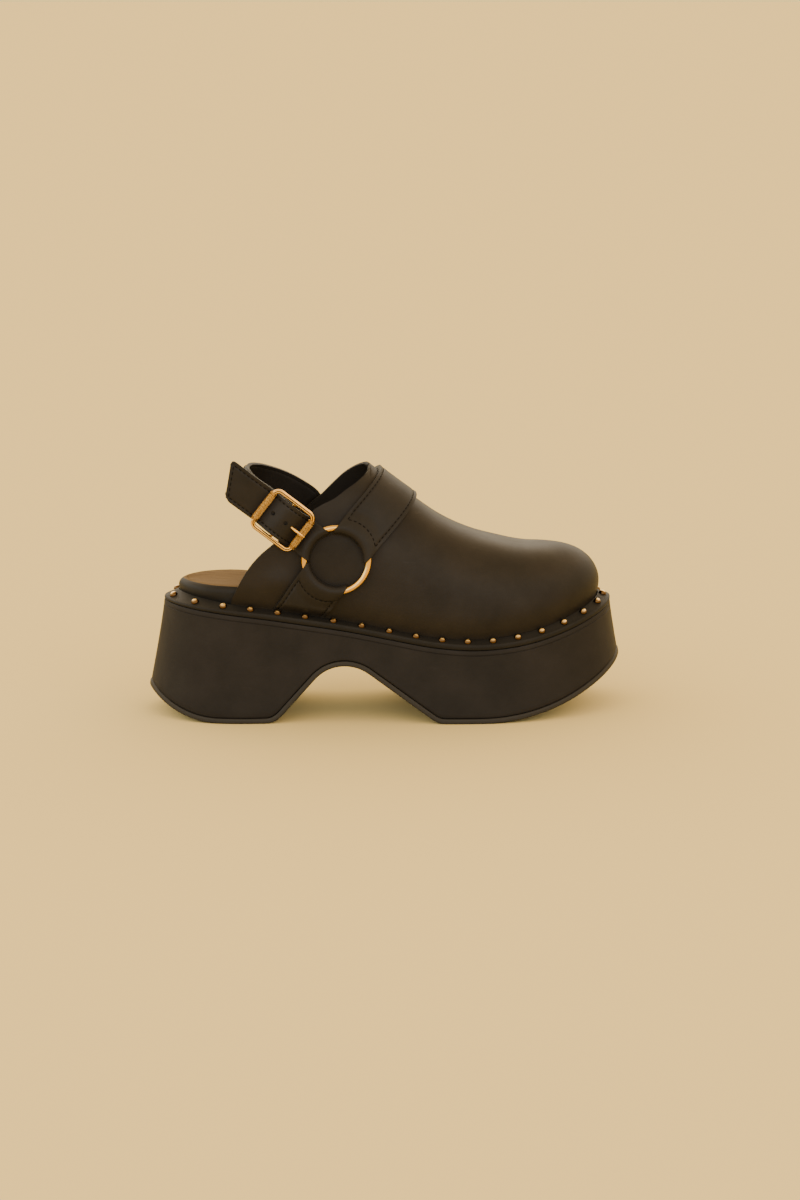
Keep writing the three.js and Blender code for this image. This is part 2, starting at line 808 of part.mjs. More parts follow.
// A cone of leather from a ring's roll down to the strap that lies on the upper.
function pad(side) {
  const low = -ringRadius;
  const profile = [
    [ringRadius, low],
    [ringRadius + padLength, low],
    [ringRadius + padLength, rollRadius * 0.95 - padLength * padSlope],
    [ringRadius, rollRadius * 0.95],
    [ringRadius, low],
  ].map(([r, h]) => new THREE.Vector2(r, h));
  const geometry = new THREE.LatheGeometry(profile, 32).rotateX(Math.PI / 2);
  return solidOf(geometry.applyMatrix4(frames[side])).subtract(harnessInner);
}

// The hole inside a ring's wire, as a plug.
function ringPlug(side) {
  const geometry = new THREE.CylinderGeometry(ringRadius, ringRadius, ringRadius * 3, 32);
  return solidOf(geometry.rotateX(Math.PI / 2).applyMatrix4(frames[side]));
}

// The part of a strap on the upper that is folded round a ring.
function ringEnd(side, angle, width) {
  const ends = sides[side] < 0 ? [-wide, 0] : [0, wide];
  const reachBand = band(side, angle, width, 4, ringRadius + padLength + 4, ...ends);
  return torus(side, rollRadius, 8, 32)
    .intersect(fan(side, angle, width))
    .subtract(harnessInner)
    .add(pad(side))
    .intersect(reachBand);
}

// Places of the nails round the plan, walked at the pitch that each part of it asks for.
const nailShares = (() => {
  const steps = 2000;
  const pitchAt = (i) => column(NAIL_PITCH, "pitch", alongAt(planAt(i / steps).x));
  const run = planCurve.getLength() / steps;
  const passed = [0];
  for (let i = 0; i < steps; i += 1) passed.push(passed[i] + run / pitchAt(i + 0.5));
  const count = Math.round(passed[steps]);
  return Array.from({ length: count }, (_, k) => {
    const wanted = ((k + nailPhase) / count) * passed[steps];
    return passed.findIndex((p) => p > wanted) / steps;
  });
})();

const stripTopLine = Array.from({ length: 40 }, (_, i) => {
  const x = lengthAt(i / 39);
  return [x, topOfPlatform(x) + stripClearAt(x) + gap];
});
const aboveStrip = aboveLine(stripTopLine);

function lowerStrap(side) {
  const angle = radians(180 + lowerStrapFall);
  const ends = sides[side] < 0 ? [-wide, 0] : [0, wide];
  let strap = harnessShell
    .intersect(band(side, angle, lowerStrapWidth, 4, wide, ...ends))
    .subtract(ringPlug(side))
    .add(ringEnd(side, angle, lowerStrapWidth))
    .intersect(aboveStrip)
    .subtract(torus(side, ringWire / 2 + gap, 8, 32));
  const near = (share) => Math.abs(planAt(share).x - ringAt[side].x) < ringAt[side].x;
  for (const share of nailShares.filter(near)) {
    strap = strap.subtract(nail(share, gap));
  }
  return strap;
}

function instepStrap() {
  const angle = radians(instepStrapRise);
  let strap = harnessShell.intersect(
    band("lateral", angle, instepStrapWidth, 4, wide, -wide, wide),
  );
  for (const side of Object.keys(sides)) {
    strap = strap
      .subtract(ringPlug(side))
      .add(ringEnd(side, angle, instepStrapWidth))
      .subtract(torus(side, ringWire / 2 + gap, 8, 32));
  }
  return strap;
}

// The slingback's frame: X along the strap through the buckle, Z across the strap's width. Its origin is
// level with the buckle's middle bar, in the shoe's middle plane.
const tilt = radians(slingTilt);
const loopForward = new THREE.Vector3(Math.cos(tilt), 0, -Math.sin(tilt));
const loopUp = new THREE.Vector3(Math.sin(tilt), 0, Math.cos(tilt));
const loopFrame = new THREE.Matrix4()
  .makeBasis(loopForward, new THREE.Vector3(0, 1, 0), loopUp)
  .setPosition(
    ringAt.lateral.x - loopForward.x * buckleFromRing,
    0,
    ringAt.lateral.z - loopForward.z * buckleFromRing,
  );

// Distance from the middle plane out to a ring's wire, where the loop's strap folds round it.
function wireOut(side) {
  const inFrame = loopForward.clone().transformDirection(frames[side].clone().invert());
  const point = new THREE.Vector3(-inFrame.x, -inFrame.y, 0).setLength(ringRadius);
  return Math.abs(point.applyMatrix4(frames[side]).y);
}

const out = { lateral: wireOut("lateral"), medial: wireOut("medial") };

// A ring's middle in the loop's frame: forward, and across the strap's width.
const ringInLoop = Object.fromEntries(
  Object.keys(sides).map((side) => {
    const dx = ringAt[side].x - ringAt.lateral.x;
    const dz = ringAt[side].z - ringAt.lateral.z;
    return [
      side,
      {
        forward: buckleFromRing + dx * loopForward.x + dz * loopForward.z,
        lift: dx * loopUp.x + dz * loopUp.z,
      },
    ];
  }),
);

// Puts a geometry made in the loop's frame into the shoe.
const inLoop = (geometry) => solidOf(geometry.applyMatrix4(loopFrame));

// A flat shape in the loop's frame, seen from above, as thick as the strap is wide.
function loopPrism(points, width, lift = 0) {
  const shape = new THREE.Shape(points.map(([x, y]) => new THREE.Vector2(x, y)));
  const geometry = new THREE.ExtrudeGeometry(shape, { depth: width, bevelEnabled: false });
  return inLoop(geometry.translate(0, 0, lift - width / 2));
}

// A strap of even thickness along a smooth line through points.
function ribbon(points, steps, thickness, width) {
  const line = new THREE.CatmullRomCurve3(
    points.map(([x, y, z]) => new THREE.Vector3(x, y, z)),
    false,
    "centripetal",
  );
  const sections = Array.from({ length: steps + 1 }, (_, i) => {
    const p = line.getPointAt(i / steps);
    const along = line.getTangentAt(i / steps);
    const across = new THREE.Vector2(-along.y, along.x).setLength(thickness / 2);
    const corner = (side, up) => [p.x + side * across.x, p.y + side * across.y, p.z + (up * width) / 2];
    return [corner(1, -1), corner(-1, -1), corner(-1, 1), corner(1, 1)];
  });
  const skin = new Skin();
  for (let i = 0; i < steps; i += 1) {
    for (let k = 0; k < 4; k += 1) {
      const j = (k + 1) % 4;
      skin.quad(sections[i][k], sections[i][j], sections[i + 1][j], sections[i + 1][k]);
    }
  }
  skin.quad(...sections[0].slice().reverse());
  skin.quad(...sections[steps]);
  return skin.solid().transform(loopFrame.elements);
}

// A round bar across the strap, at a place in the loop's frame seen from above.
function crossBar(x, y, radius, length, round) {
  const geometry = new THREE.CylinderGeometry(radius, radius, length, round);
  return inLoop(geometry.rotateX(Math.PI / 2).translate(x, y, 0));
}

// The wedge and roll that end a loop's strap at a ring.
function loopEnd(side, startX, startOut, thickness, width) {
  const y = sides[side];
  const w = out[side];
  const { forward, lift } = ringInLoop[side];
  const wire = forward - ringRadius;
  const wedge = loopPrism(
    [
      [startX, y * (w + startOut - thickness / 2)],
      [wire, y * (w - rollRadius * 0.97)],
      [wire + 4, y * (w - rollRadius * 0.97)],
      [wire + 4, y * (w + rollRadius * 0.97)],
      [wire, y * (w + rollRadius * 0.97)],
      [startX, y * (w + startOut + thickness / 2)],
    ],
    width,
    lift,
  );
  const slab = loopPrism(
    [
      [startX, y * (w - 12)],
      [forward - 4, y * (w - 12)],
      [forward - 4, y * (w + 12)],
      [startX, y * (w + 12)],
    ],
    width,
    lift,
  );
  return torus(side, rollRadius, 8, 32)
    .intersect(slab)
    .intersect(fan(side, Math.PI - tilt, width))
    .add(wedge.subtract(ringPlug(side)));
}

const lateralOut = (o) => -(out.lateral + o);
const barX = (buckleLength - buckleWire) / 2 - (sleeveRadius - buckleWire / 2);

// The eye of the prong and the cut that clears the prong
const prongFrom = new THREE.Vector2(1.2, middleBarOut + 0.9);
const prongTo = new THREE.Vector2(barX + 0.4, frameOut + sleeveRadius + gap + prongWire / 2);

function prongShank(radius) {
  const run = prongTo.clone().sub(prongFrom);
  const geometry = new THREE.CapsuleGeometry(radius, run.length(), 3, 8);
  geometry.rotateZ(-Math.PI / 2 - run.angle() + Math.PI);
  const middle = prongFrom.clone().add(prongTo).multiplyScalar(0.5);
  return inLoop(geometry.translate(middle.x, lateralOut(middle.y), 0));
}

const eyeClear = 0.25;
const eyeRadius = middleBarRadius + eyeClear + 0.85;
const prong = crossBar(0, lateralOut(middleBarOut), eyeRadius, prongWire + 0.4, 14)
  .add(prongShank(prongWire / 2))
  .subtract(crossBar(0, lateralOut(middleBarOut), middleBarRadius + eyeClear, buckleWidth, 12));
const prongClearance = prongShank(prongWire / 2 + gap).add(
  crossBar(0, lateralOut(middleBarOut), eyeRadius + gap, prongWire + 1, 14),
);

function buckleStrap() {
  const line = BUCKLE_STRAP.map((row) => [row.forward, lateralOut(row.out), 0]);
  const half = slingWidth / 2;
  const outline = sidePrism(
    [
      [buckleFromRing, -half],
      [buckleFromRing, half],
      ...roundedCorner([0, half], [-tipTop, half], [-tipBottom, -half], tipCorner, 4),
      ...roundedCorner([-tipTop, half], [-tipBottom, -half], [0, -half], tipCorner, 4),
    ],
    -wide,
    0,
  ).transform(loopFrame.elements);
  let strap = ribbon(line, 32, slingThickness * 0.9, slingWidth)
    .add(loopEnd("lateral", 15.6, -0.9, slingThickness * 0.9, slingWidth))
    .intersect(outline);
  for (const place of [0, -1]) {
    const geometry = new THREE.CylinderGeometry(holeRadius, holeRadius, 20, 10);
    strap = strap.subtract(inLoop(geometry.translate(place * holeSpacing - 0.2, lateralOut(0), 0)));
  }
  return strap
    .subtract(prongClearance)
    .subtract(torus("lateral", ringWire / 2 + gap, 8, 32))
    .subtract(upperRoom);
}

function slingback() {
  const line = LOOP.map((row) => [
    -row.back * loopDepth,
    row.across * (row.across < 0 ? out.lateral : out.medial),
    row.lift,
  ]);
  const end = line[line.length - 1];
  const fold = crossBar(0, lateralOut(middleBarOut), middleBarRadius + gap + 1.1, slingWidth, 14);
  return ribbon(line, 32, slingThickness, slingWidth)
    .add(loopEnd("medial", end[0] - 0.5, 0, slingThickness, slingWidth))
    .add(fold)
    .subtract(crossBar(0, lateralOut(middleBarOut), middleBarRadius + gap, buckleWidth, 12))
    .subtract(prongClearance)
    .subtract(torus("medial", ringWire / 2 + gap, 8, 32))
    .subtract(upperRoom);
}

// The buckle's frame: round wire in a rectangle with rounded corners, and a bar across its middle.
function buckleFrame() {
  const halfLength = barX;
  const halfWidth = (buckleWidth - buckleWire) / 2;
  const corners = [
    [halfLength, -halfWidth],
    [halfLength, halfWidth],
    [-halfLength, halfWidth],
    [-halfLength, -halfWidth],
  ];
  const path = corners.flatMap((corner, i) =>
    roundedCorner(corners[(i + 3) % 4], corner, corners[(i + 1) % 4], buckleCorner, 4),
  );
  const round = 8;
  const rings = path.map(([x, z], i) => {
    const before = path[(i + path.length - 1) % path.length];
    const after = path[(i + 1) % path.length];
    const run = Math.hypot(after[0] - before[0], after[1] - before[1]);
    const nx = (after[1] - before[1]) / run;
    const nz = -(after[0] - before[0]) / run;
    return Array.from({ length: round }, (__, k) => {
      const angle = (2 * Math.PI * k) / round;
      const r = (buckleWire / 2) * Math.cos(angle);
      return [x + nx * r, lateralOut(frameOut) - (buckleWire / 2) * Math.sin(angle), z + nz * r];
    });
  });
  const skin = new Skin();
  rings.forEach((ring, i) => {
    const next = rings[(i + 1) % rings.length];
    ring.forEach((point, k) => {
      const j = (k + 1) % round;
      skin.quad(point, ring[j], next[j], next[k]);
    });
  });
  return skin
    .solid()
    .transform(loopFrame.elements)
    .add(crossBar(0, lateralOut(middleBarOut), middleBarRadius, buckleWidth - buckleWire, 12));
}

function sleeve(x) {
  const y = lateralOut(frameOut);
  return crossBar(x, y, sleeveRadius, sleeveLength, 14).subtract(
    crossBar(x, y, buckleWire / 2 + 0.25, sleeveLength * 2, 12),
  );
}

// One domed nail head on the strip, made larger all round by a clearance.
function nail(share, clear = 0) {
  const p = planAt(share);
  const inset = stripWidthAt(p.x) * nailInset;
  const x = p.x - p.nx * inset;
  const y = p.y - p.ny * inset;
  const slope = (topOfPlatform(x + 1) - topOfPlatform(x - 1)) / 2;
  const edge = column(STRIP, "edge", alongAt(p.x));
  const rise = column(STRIP, "inner", alongAt(p.x)) - edge;
  const lean = rise / (stripInset(p.x) - stripEdgeRadius);
  const height = gap + edge + lean * (inset - stripEdgeRadius) + nailLift;
  const up = new THREE.Vector3(p.nx * lean - slope, p.ny * lean, 1).normalize();
  const turn = new THREE.Quaternion().setFromUnitVectors(new THREE.Vector3(0, 0, 1), up);
  const profile = [
    [0, -clear],
    [nailRadius + clear, -clear],
    [nailRadius * 0.74 + clear, nailHeight * 0.72 + clear],
    [0, nailHeight + clear],
  ].map(([r, h]) => new THREE.Vector2(r, h));
  const geometry = new THREE.LatheGeometry(profile, 7).rotateX(Math.PI / 2);
  geometry.applyQuaternion(turn);
  return solidOf(geometry.translate(x, y, topOfPlatform(x) + height));
}

// The shoe

const leather = new THREE.MeshStandardMaterial({ color: 0x2c2620, roughness: 0.62, metalness: 0 });
const rubber = new THREE.MeshStandardMaterial({ color: 0x24211d, roughness: 0.75, metalness: 0 });
const suede = new THREE.MeshStandardMaterial({ color: 0x7d6446, roughness: 0.95, metalness: 0 });
const brass = new THREE.MeshStandardMaterial({ color: 0xc6a15b, roughness: 0.28, metalness: 1 });

const shoe = new THREE.Group();

function place(name, solid, material) {
  const mesh = new THREE.Mesh(geometryOf(solid), material.clone());
  mesh.name = name;
  shoe.add(mesh);
}

place("platform", platform, leather);
place("outsole", outsole, rubber);
place("nailed_strip", strip(), leather);
place("footbed", footbed(), suede);
place("upper", upper, leather);
place("instep_strap", instepStrap(), leather);
place("lateral_lower_strap", lowerStrap("lateral"), leather);
place("medial_lower_strap", lowerStrap("medial"), leather);
place("lateral_ring", torus("lateral", ringWire / 2, 8, 32), brass);
place("medial_ring", torus("medial", ringWire / 2, 8, 32), brass);
place("slingback", slingback(), leather);
place("buckle_strap", buckleStrap(), leather);
place("buckle_frame", buckleFrame(), brass);
place("buckle_prong", prong, brass);
place("front_sleeve", sleeve(barX), brass);
place("rear_sleeve", sleeve(-barX), brass);
nailShares.forEach((share, i) => {
  place(`nail_${String(i + 1).padStart(2, "0")}`, nail(share), brass);
});

export default shoe;
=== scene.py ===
# A platform clog for the right foot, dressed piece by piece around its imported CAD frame.
# Formulas work in millimetres, and a mesh gets its points in metres.
import math

import bpy
import numpy as np
from mathutils import Matrix, Vector


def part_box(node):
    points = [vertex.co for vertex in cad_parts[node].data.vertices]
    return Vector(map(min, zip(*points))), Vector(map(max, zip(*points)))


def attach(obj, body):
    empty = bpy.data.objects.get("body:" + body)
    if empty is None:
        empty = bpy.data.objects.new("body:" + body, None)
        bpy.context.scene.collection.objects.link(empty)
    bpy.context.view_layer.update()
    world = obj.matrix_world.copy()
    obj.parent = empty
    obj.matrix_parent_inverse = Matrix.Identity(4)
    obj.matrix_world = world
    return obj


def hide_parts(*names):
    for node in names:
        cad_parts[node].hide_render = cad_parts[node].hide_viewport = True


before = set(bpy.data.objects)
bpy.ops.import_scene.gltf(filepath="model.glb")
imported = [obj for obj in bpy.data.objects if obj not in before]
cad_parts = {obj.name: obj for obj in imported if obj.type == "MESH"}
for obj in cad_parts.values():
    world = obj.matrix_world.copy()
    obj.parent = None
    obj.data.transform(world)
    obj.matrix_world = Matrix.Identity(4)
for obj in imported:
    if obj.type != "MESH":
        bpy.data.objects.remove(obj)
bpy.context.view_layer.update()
bpy.ops.object.select_all(action="DESELECT")


# Platform
# A light foam block with heel, arch and raised forefoot. It is wrapped in black leather whose edge is turned
# in under the nailed strip, which leaves a fine line just below the top.
MM = 0.001
GAP = 0.3
TOP_LENGTH = 260
BALL_WIDTH = 90
HEEL_BACK = 40.5
BALL_HEIGHT = 42
HEEL_RISE = 23.6
TOE_RISE = 18.6
SIDE_FLARE = 0.09
END_FLARE = 0.185
FLARE_CURVE = 1.15
BELOW = -4
POINTS_A_SIDE = 220

# Plan of the platform's top: along as a share of its length, then out to each side as shares of its width
PLAN = (
    (0.012, 0.128, 0.128), (0.042, 0.25, 0.25), (0.085, 0.343, 0.338), (0.15, 0.4, 0.385),
    (0.25, 0.412, 0.372), (0.36, 0.425, 0.35), (0.46, 0.457, 0.353), (0.56, 0.503, 0.395),
    (0.65, 0.53, 0.452), (0.73, 0.528, 0.476), (0.8, 0.493, 0.475), (0.865, 0.425, 0.445),
    (0.92, 0.333, 0.388), (0.96, 0.235, 0.315), (0.987, 0.115, 0.215),
)
TOE_TIP_ACROSS = 0.055

# Height of the platform's top, as shares of the rise to the heel and of the rise to the toe
HEEL_LINE = (
    (0, 1), (0.1, 0.9), (0.2, 0.767), (0.3, 0.6), (0.4, 0.43), (0.5, 0.23), (0.6, 0.05), (0.7, 0), (1, 0),
)
TOE_LINE = ((0, 0), (0.6, 0), (0.7, 0), (0.8, 0.15), (0.9, 0.495), (1, 1))


def column(rows, place):
    """Value at a place, on a smooth curve through (place, value) rows."""
    places, values = np.array(rows, float).T
    last = len(places) - 1
    before = np.maximum(np.arange(last + 1) - 1, 0)
    after = np.minimum(np.arange(last + 1) + 1, last)
    slope = (values[after] - values[before]) / (places[after] - places[before])
    at = np.clip(place, places[0], places[-1])
    i = np.clip(np.searchsorted(places, at, side="right") - 1, 0, last - 1)
    width = places[i + 1] - places[i]
    t = (at - places[i]) / width
    ease = t * t * (3 - 2 * t)
    rise = t * (1 - t) * width * ((1 - t) * slope[i] - t * slope[i + 1])
    return values[i] + (values[i + 1] - values[i]) * ease + rise


def length_at(along):
    return along * TOP_LENGTH - HEEL_BACK


def along_at(x):
    return (x + HEEL_BACK) / TOP_LENGTH


def platform_top(x):
    along = along_at(x)
    return BALL_HEIGHT + column(HEEL_LINE, along) * HEEL_RISE + column(TOE_LINE, along) * TOE_RISE


def through(points, closed=False, steps=48):
    """A smooth line through points, as the centripetal Catmull-Rom curve."""
    p = np.array(points, float)
    count = len(p)
    share = (np.arange(steps) / steps)[:, None]
    pieces = []
    for k in range(count if closed else count - 1):
        b = p[k]
        c = p[(k + 1) % count]
        a = p[k - 1] if closed or k > 0 else 2 * b - c
        d = p[(k + 2) % count] if closed or k + 2 < count else 2 * c - b
        ab, bc, cd = (math.sqrt(np.linalg.norm(w - v)) for v, w in ((a, b), (b, c), (c, d)))
        leave = ((b - a) / ab - (c - a) / (ab + bc) + (c - b) / bc) * bc
        arrive = ((c - b) / bc - (d - b) / (bc + cd) + (d - c) / cd) * bc
        square = -3 * b + 3 * c - 2 * leave - arrive
        cube = 2 * b - 2 * c + leave + arrive
        pieces.append(b + leave * share + square * share**2 + cube * share**3)
    if not closed:
        pieces.append(p[-1:])
    return np.vstack(pieces)


def walk(line, shares, flat=None):
    """Points of a line at shares of its length, which is measured in its first columns."""
    steps = np.linalg.norm(np.diff(line[:, :flat], axis=0), axis=1)
    run = np.r_[0, np.cumsum(steps)]
    return np.stack([np.interp(shares * run[-1], run, values) for values in line.T], -1)


def plan_ring():
    """The plan as a ring of points with the directions that face out, from the heel round the outer side."""
    outer = [(length_at(along), -lateral * BALL_WIDTH) for along, lateral, medial in PLAN]
    inner = [(length_at(along), medial * BALL_WIDTH) for along, lateral, medial in reversed(PLAN)]
    tip = (length_at(1), TOE_TIP_ACROSS * BALL_WIDTH)
    line = through([(-HEEL_BACK, 0), *outer, tip, *inner], closed=True, steps=60)
    ahead = np.roll(line, -1, axis=0) - np.roll(line, 1, axis=0)
    ahead /= np.linalg.norm(ahead, axis=1)[:, None]
    full = np.column_stack([line, ahead[:, 1], -ahead[:, 0]])
    toe = int(np.argmax(line[:, 0]))
    shares = np.linspace(0, 1, POINTS_A_SIDE + 1)
    lateral = walk(full[: toe + 1], shares, flat=2)
    medial = walk(np.vstack([full[toe:], full[:1]]), shares, flat=2)
    ring = np.vstack([lateral, medial[1:-1]])
    ring[:, 2:] /= np.linalg.norm(ring[:, 2:], axis=1)[:, None]
    return ring


def moved(ring, distance):
    """A ring's points moved out in plan."""
    return ring[:, :2] + ring[:, 2:] * np.reshape(distance, (-1, 1))


def towards_middle(xy, shares):
    """Rings between a ring and the line along its middle."""
    partner = np.roll(xy[::-1], 1, axis=0)
    middle = (xy + partner) / 2
    return [xy + (middle - xy) * share for share in shares]


def raised_to(xy, height):
    """Plan points with the height that a function of their length gives."""
    return np.column_stack([xy, height(xy[:, 0])])


def sheet(name, rows, closed=False, whole=False):
    """A grid primitive laid over rows of points in millimetres, and joined where its points meet.
    closed joins the end of each row to its start, and whole turns the faces of a closed body outwards."""
    rows = np.array(rows, float)
    if closed:
        rows = np.concatenate([rows, rows[:, :1]], axis=1)
    across, along = rows.shape[1], rows.shape[0]
    bpy.ops.mesh.primitive_grid_add(x_subdivisions=across - 1, y_subdivisions=along - 1, size=1)
    made = bpy.context.object
    made.name = made.data.name = name
    made.data.vertices.foreach_set("co", (rows * MM).ravel())
    bpy.ops.object.mode_set(mode="EDIT")
    bpy.ops.mesh.select_all(action="SELECT")
    bpy.ops.mesh.remove_doubles(threshold=2e-6)
    if whole:
        bpy.ops.mesh.normals_make_consistent(inside=False)
    bpy.ops.object.mode_set(mode="OBJECT")
    return made


def finish_surface(piece, material, angle=35):
    """Smooth shading up to an angle, and the material all over."""
    bpy.ops.object.select_all(action="DESELECT")
    piece.select_set(True)
    bpy.context.view_layer.objects.active = piece
    bpy.ops.object.shade_smooth_by_angle(angle=math.radians(angle))
    piece.data.materials.clear()
    piece.data.materials.append(material)
    bpy.ops.object.select_all(action="DESELECT")


def wall(depth, proud):
    """The platform's wall at depths below its top: it leans out towards the floor, most at the two ends."""
    top = platform_top(RING[:, 0])
    slope = SIDE_FLARE + (END_FLARE - SIDE_FLARE) * RING[:, 2] ** 2
    fall = top - BELOW
    out = slope * fall * (depth / fall) ** FLARE_CURVE + proud
    return np.column_stack([moved(RING, out), top - depth])


# The tread seen from the side: flats under heel and forefoot, an arch and two rockers
HEEL_FLAT_BACK = 10
HEEL_FLAT_FRONT = 16
HEEL_ROCKER_RADIUS = 62
ARCH_HEIGHT = 39.9
ARCH_CROWN_RADIUS = 23
ARCH_FOOT_RADIUS = 13
TOE_ROCKER_RADIUS = 141
ARCH_BREAST = 0.257
ARCH_PEAK = 0.392
ARCH_BALL = 0.597
FOREFOOT_FLAT_END = 0.688
TREAD_BACK = -48.5
TREAD_LENGTH = 273
END_REACH = 12.1


def rounded_corner(before, corner, after, radius, steps=24):
    """Points along an arc that rounds a corner."""
    a, b, c = (np.array(v, float) for v in (before, corner, after))
    to_a = (a - b) / np.linalg.norm(a - b)
    to_c = (c - b) / np.linalg.norm(c - b)
    half = math.acos(to_a @ to_c) / 2
    middle = (to_a + to_c) / np.linalg.norm(to_a + to_c)
    centre = b + middle * radius / math.sin(half)
    start = b + to_a * radius / math.tan(half) - centre
    end = b + to_c * radius / math.tan(half) - centre
    turn = math.atan2(start[0] * end[1] - start[1] * end[0], start @ end)
    angle = math.atan2(start[1], start[0]) + np.linspace(0, turn, steps + 1)
    return centre + radius * np.column_stack([np.cos(angle), np.sin(angle)])


def rocker(x, radius, direction, reach_to, steps=40):
    """An arc that leaves the floor at x and rises towards one end."""
    angle = np.linspace(0, math.asin(abs(reach_to - x) / radius), steps + 1)
    return np.column_stack([x + direction * radius * np.sin(angle), radius * (1 - np.cos(angle))])


def tread_line():
    breast, peak, ball, flat_end = (
        TREAD_BACK + TREAD_LENGTH * share
        for share in (ARCH_BREAST, ARCH_PEAK, ARCH_BALL, FOREFOOT_FLAT_END)
    )
    crown = (peak, ARCH_HEIGHT)
    heel_end = (HEEL_FLAT_FRONT - ARCH_FOOT_RADIUS, 0)
    return np.vstack(
        [
            rocker(-HEEL_FLAT_BACK, HEEL_ROCKER_RADIUS, -1, -HEEL_BACK - END_REACH)[::-1],
            rounded_corner(heel_end, (breast, 0), crown, ARCH_FOOT_RADIUS),
            rounded_corner((breast, 0), crown, (ball, 0), ARCH_CROWN_RADIUS),
            rounded_corner(crown, (ball, 0), (flat_end, 0), ARCH_FOOT_RADIUS),
            rocker(flat_end, TOE_ROCKER_RADIUS, 1, length_at(1) + END_REACH),
        ]
    )


def tread_raised(distance):
    """Height of the tread line moved up into the sole, as a function of the length."""
    along = np.gradient(TREAD, axis=0)
    along /= np.linalg.norm(along, axis=1)[:, None]
    line = TREAD + distance * np.column_stack([-along[:, 1], along[:, 0]])
    return lambda x: np.interp(x, line[:, 0], line[:, 1])


def depth_to(height, proud):
    """Depth below the platform's top at which its wall meets a line in the side view."""
    top = platform_top(RING[:, 0])
    depth = top * 0.8
    for _ in range(30):
        depth = top - height(wall(depth, proud)[:, 0])
    return depth


RING = plan_ring()
TREAD = tread_line()
OUTSOLE_THICKNESS = 3
MIDDLE_SHARES = (1, 0.6, 0.25, 0.06)
WALL_ROWS = 17

# The cover's rounded edge and the fine line where it is turned in: depth below the top, and how far proud.
# COVER_FOOT is its rounded edge below: up from the foot, and how far in.
COVER_EDGE = (
    (0, -0.6), (0.18, -0.18), (0.6, 0), (2.5, 0),
    (2.66, -0.2), (2.85, -0.32), (3.05, -0.2), (3.2, 0),
)
COVER_FOOT = ((0.7, 0), (0.25, 0.15), (0, 0.6))
block_foot = tread_raised(OUTSOLE_THICKNESS + GAP)
foot_depth = depth_to(block_foot, 0)
edge_depth = COVER_EDGE[-1][0]
top_ring = moved(RING, COVER_EDGE[0][1])
platform_rows = [raised_to(xy, platform_top) for xy in towards_middle(top_ring, MIDDLE_SHARES)]
platform_rows += [wall(depth, proud) for depth, proud in COVER_EDGE]
for share in np.linspace(0, 1, WALL_ROWS + 1)[1:-1]:
    platform_rows.append(wall(edge_depth + (foot_depth - COVER_FOOT[0][0] - edge_depth) * share, 0))
platform_rows += [wall(foot_depth - up, -inward) for up, inward in COVER_FOOT]
platform_foot = platform_rows[-1][:, :2]
platform_rows += [raised_to(xy, block_foot) for xy in towards_middle(platform_foot, MIDDLE_SHARES[::-1])]


def fill(made, **values):
    """Gives a node's inputs their numbers or other nodes' outputs. Spaces in their names are underscores."""
    for key, value in values.items():
        socket = made.inputs[key.replace("_", " ")]
        if isinstance(value, bpy.types.Node):
            value = value.outputs[0]
        if isinstance(value, bpy.types.NodeSocket):
            made.id_data.links.new(value, socket)
        else:
            socket.default_value = value


def node(tree, kind, **settings):
    """Adds a shader node with its own settings and its inputs."""
    made = tree.nodes.new("ShaderNode" + kind)
    for key, value in settings.items():
        if hasattr(made, key):
            setattr(made, key, value)
        else:
            fill(made, **{key: value})
    return made


def math_node(tree, operation, *values):
    made = node(tree, "Math", operation=operation)
    for socket, value in zip(made.inputs, values):
        if isinstance(value, bpy.types.NodeSocket):
            tree.links.new(value, socket)
        else:
            socket.default_value = value
    return made.outputs[0]


def noise(tree, place, scale, detail, roughness=0.5):
    made = node(tree, "TexNoise", Vector=place, Scale=scale, Detail=detail, Roughness=roughness)
    return made.outputs[0]


def ranged(tree, value, low, high, to_low=0.0, to_high=1.0):
    """A number moved from one range to another, and held inside it."""
    made = node(tree, "MapRange", Value=value, From_Min=low, From_Max=high, To_Min=to_low, To_Max=to_high)
    return made.outputs[0]


def mixed(tree, factor, first, second):
    """Two colours mixed by a factor."""
    return node(tree, "Mix", data_type="RGBA", Factor=factor, A=first, B=second).outputs["Result"]


def place_in(tree):
    return node(tree, "TexCoord").outputs["Object"]


def new_material(name):
    """A material, its node tree and its shader."""
    material = bpy.data.materials.new(name)
    material.use_nodes = True
    return material, material.node_tree, material.node_tree.nodes["Principled BSDF"]


CLOUD_SIZE = 26
LEATHER_SHINE = 0.18


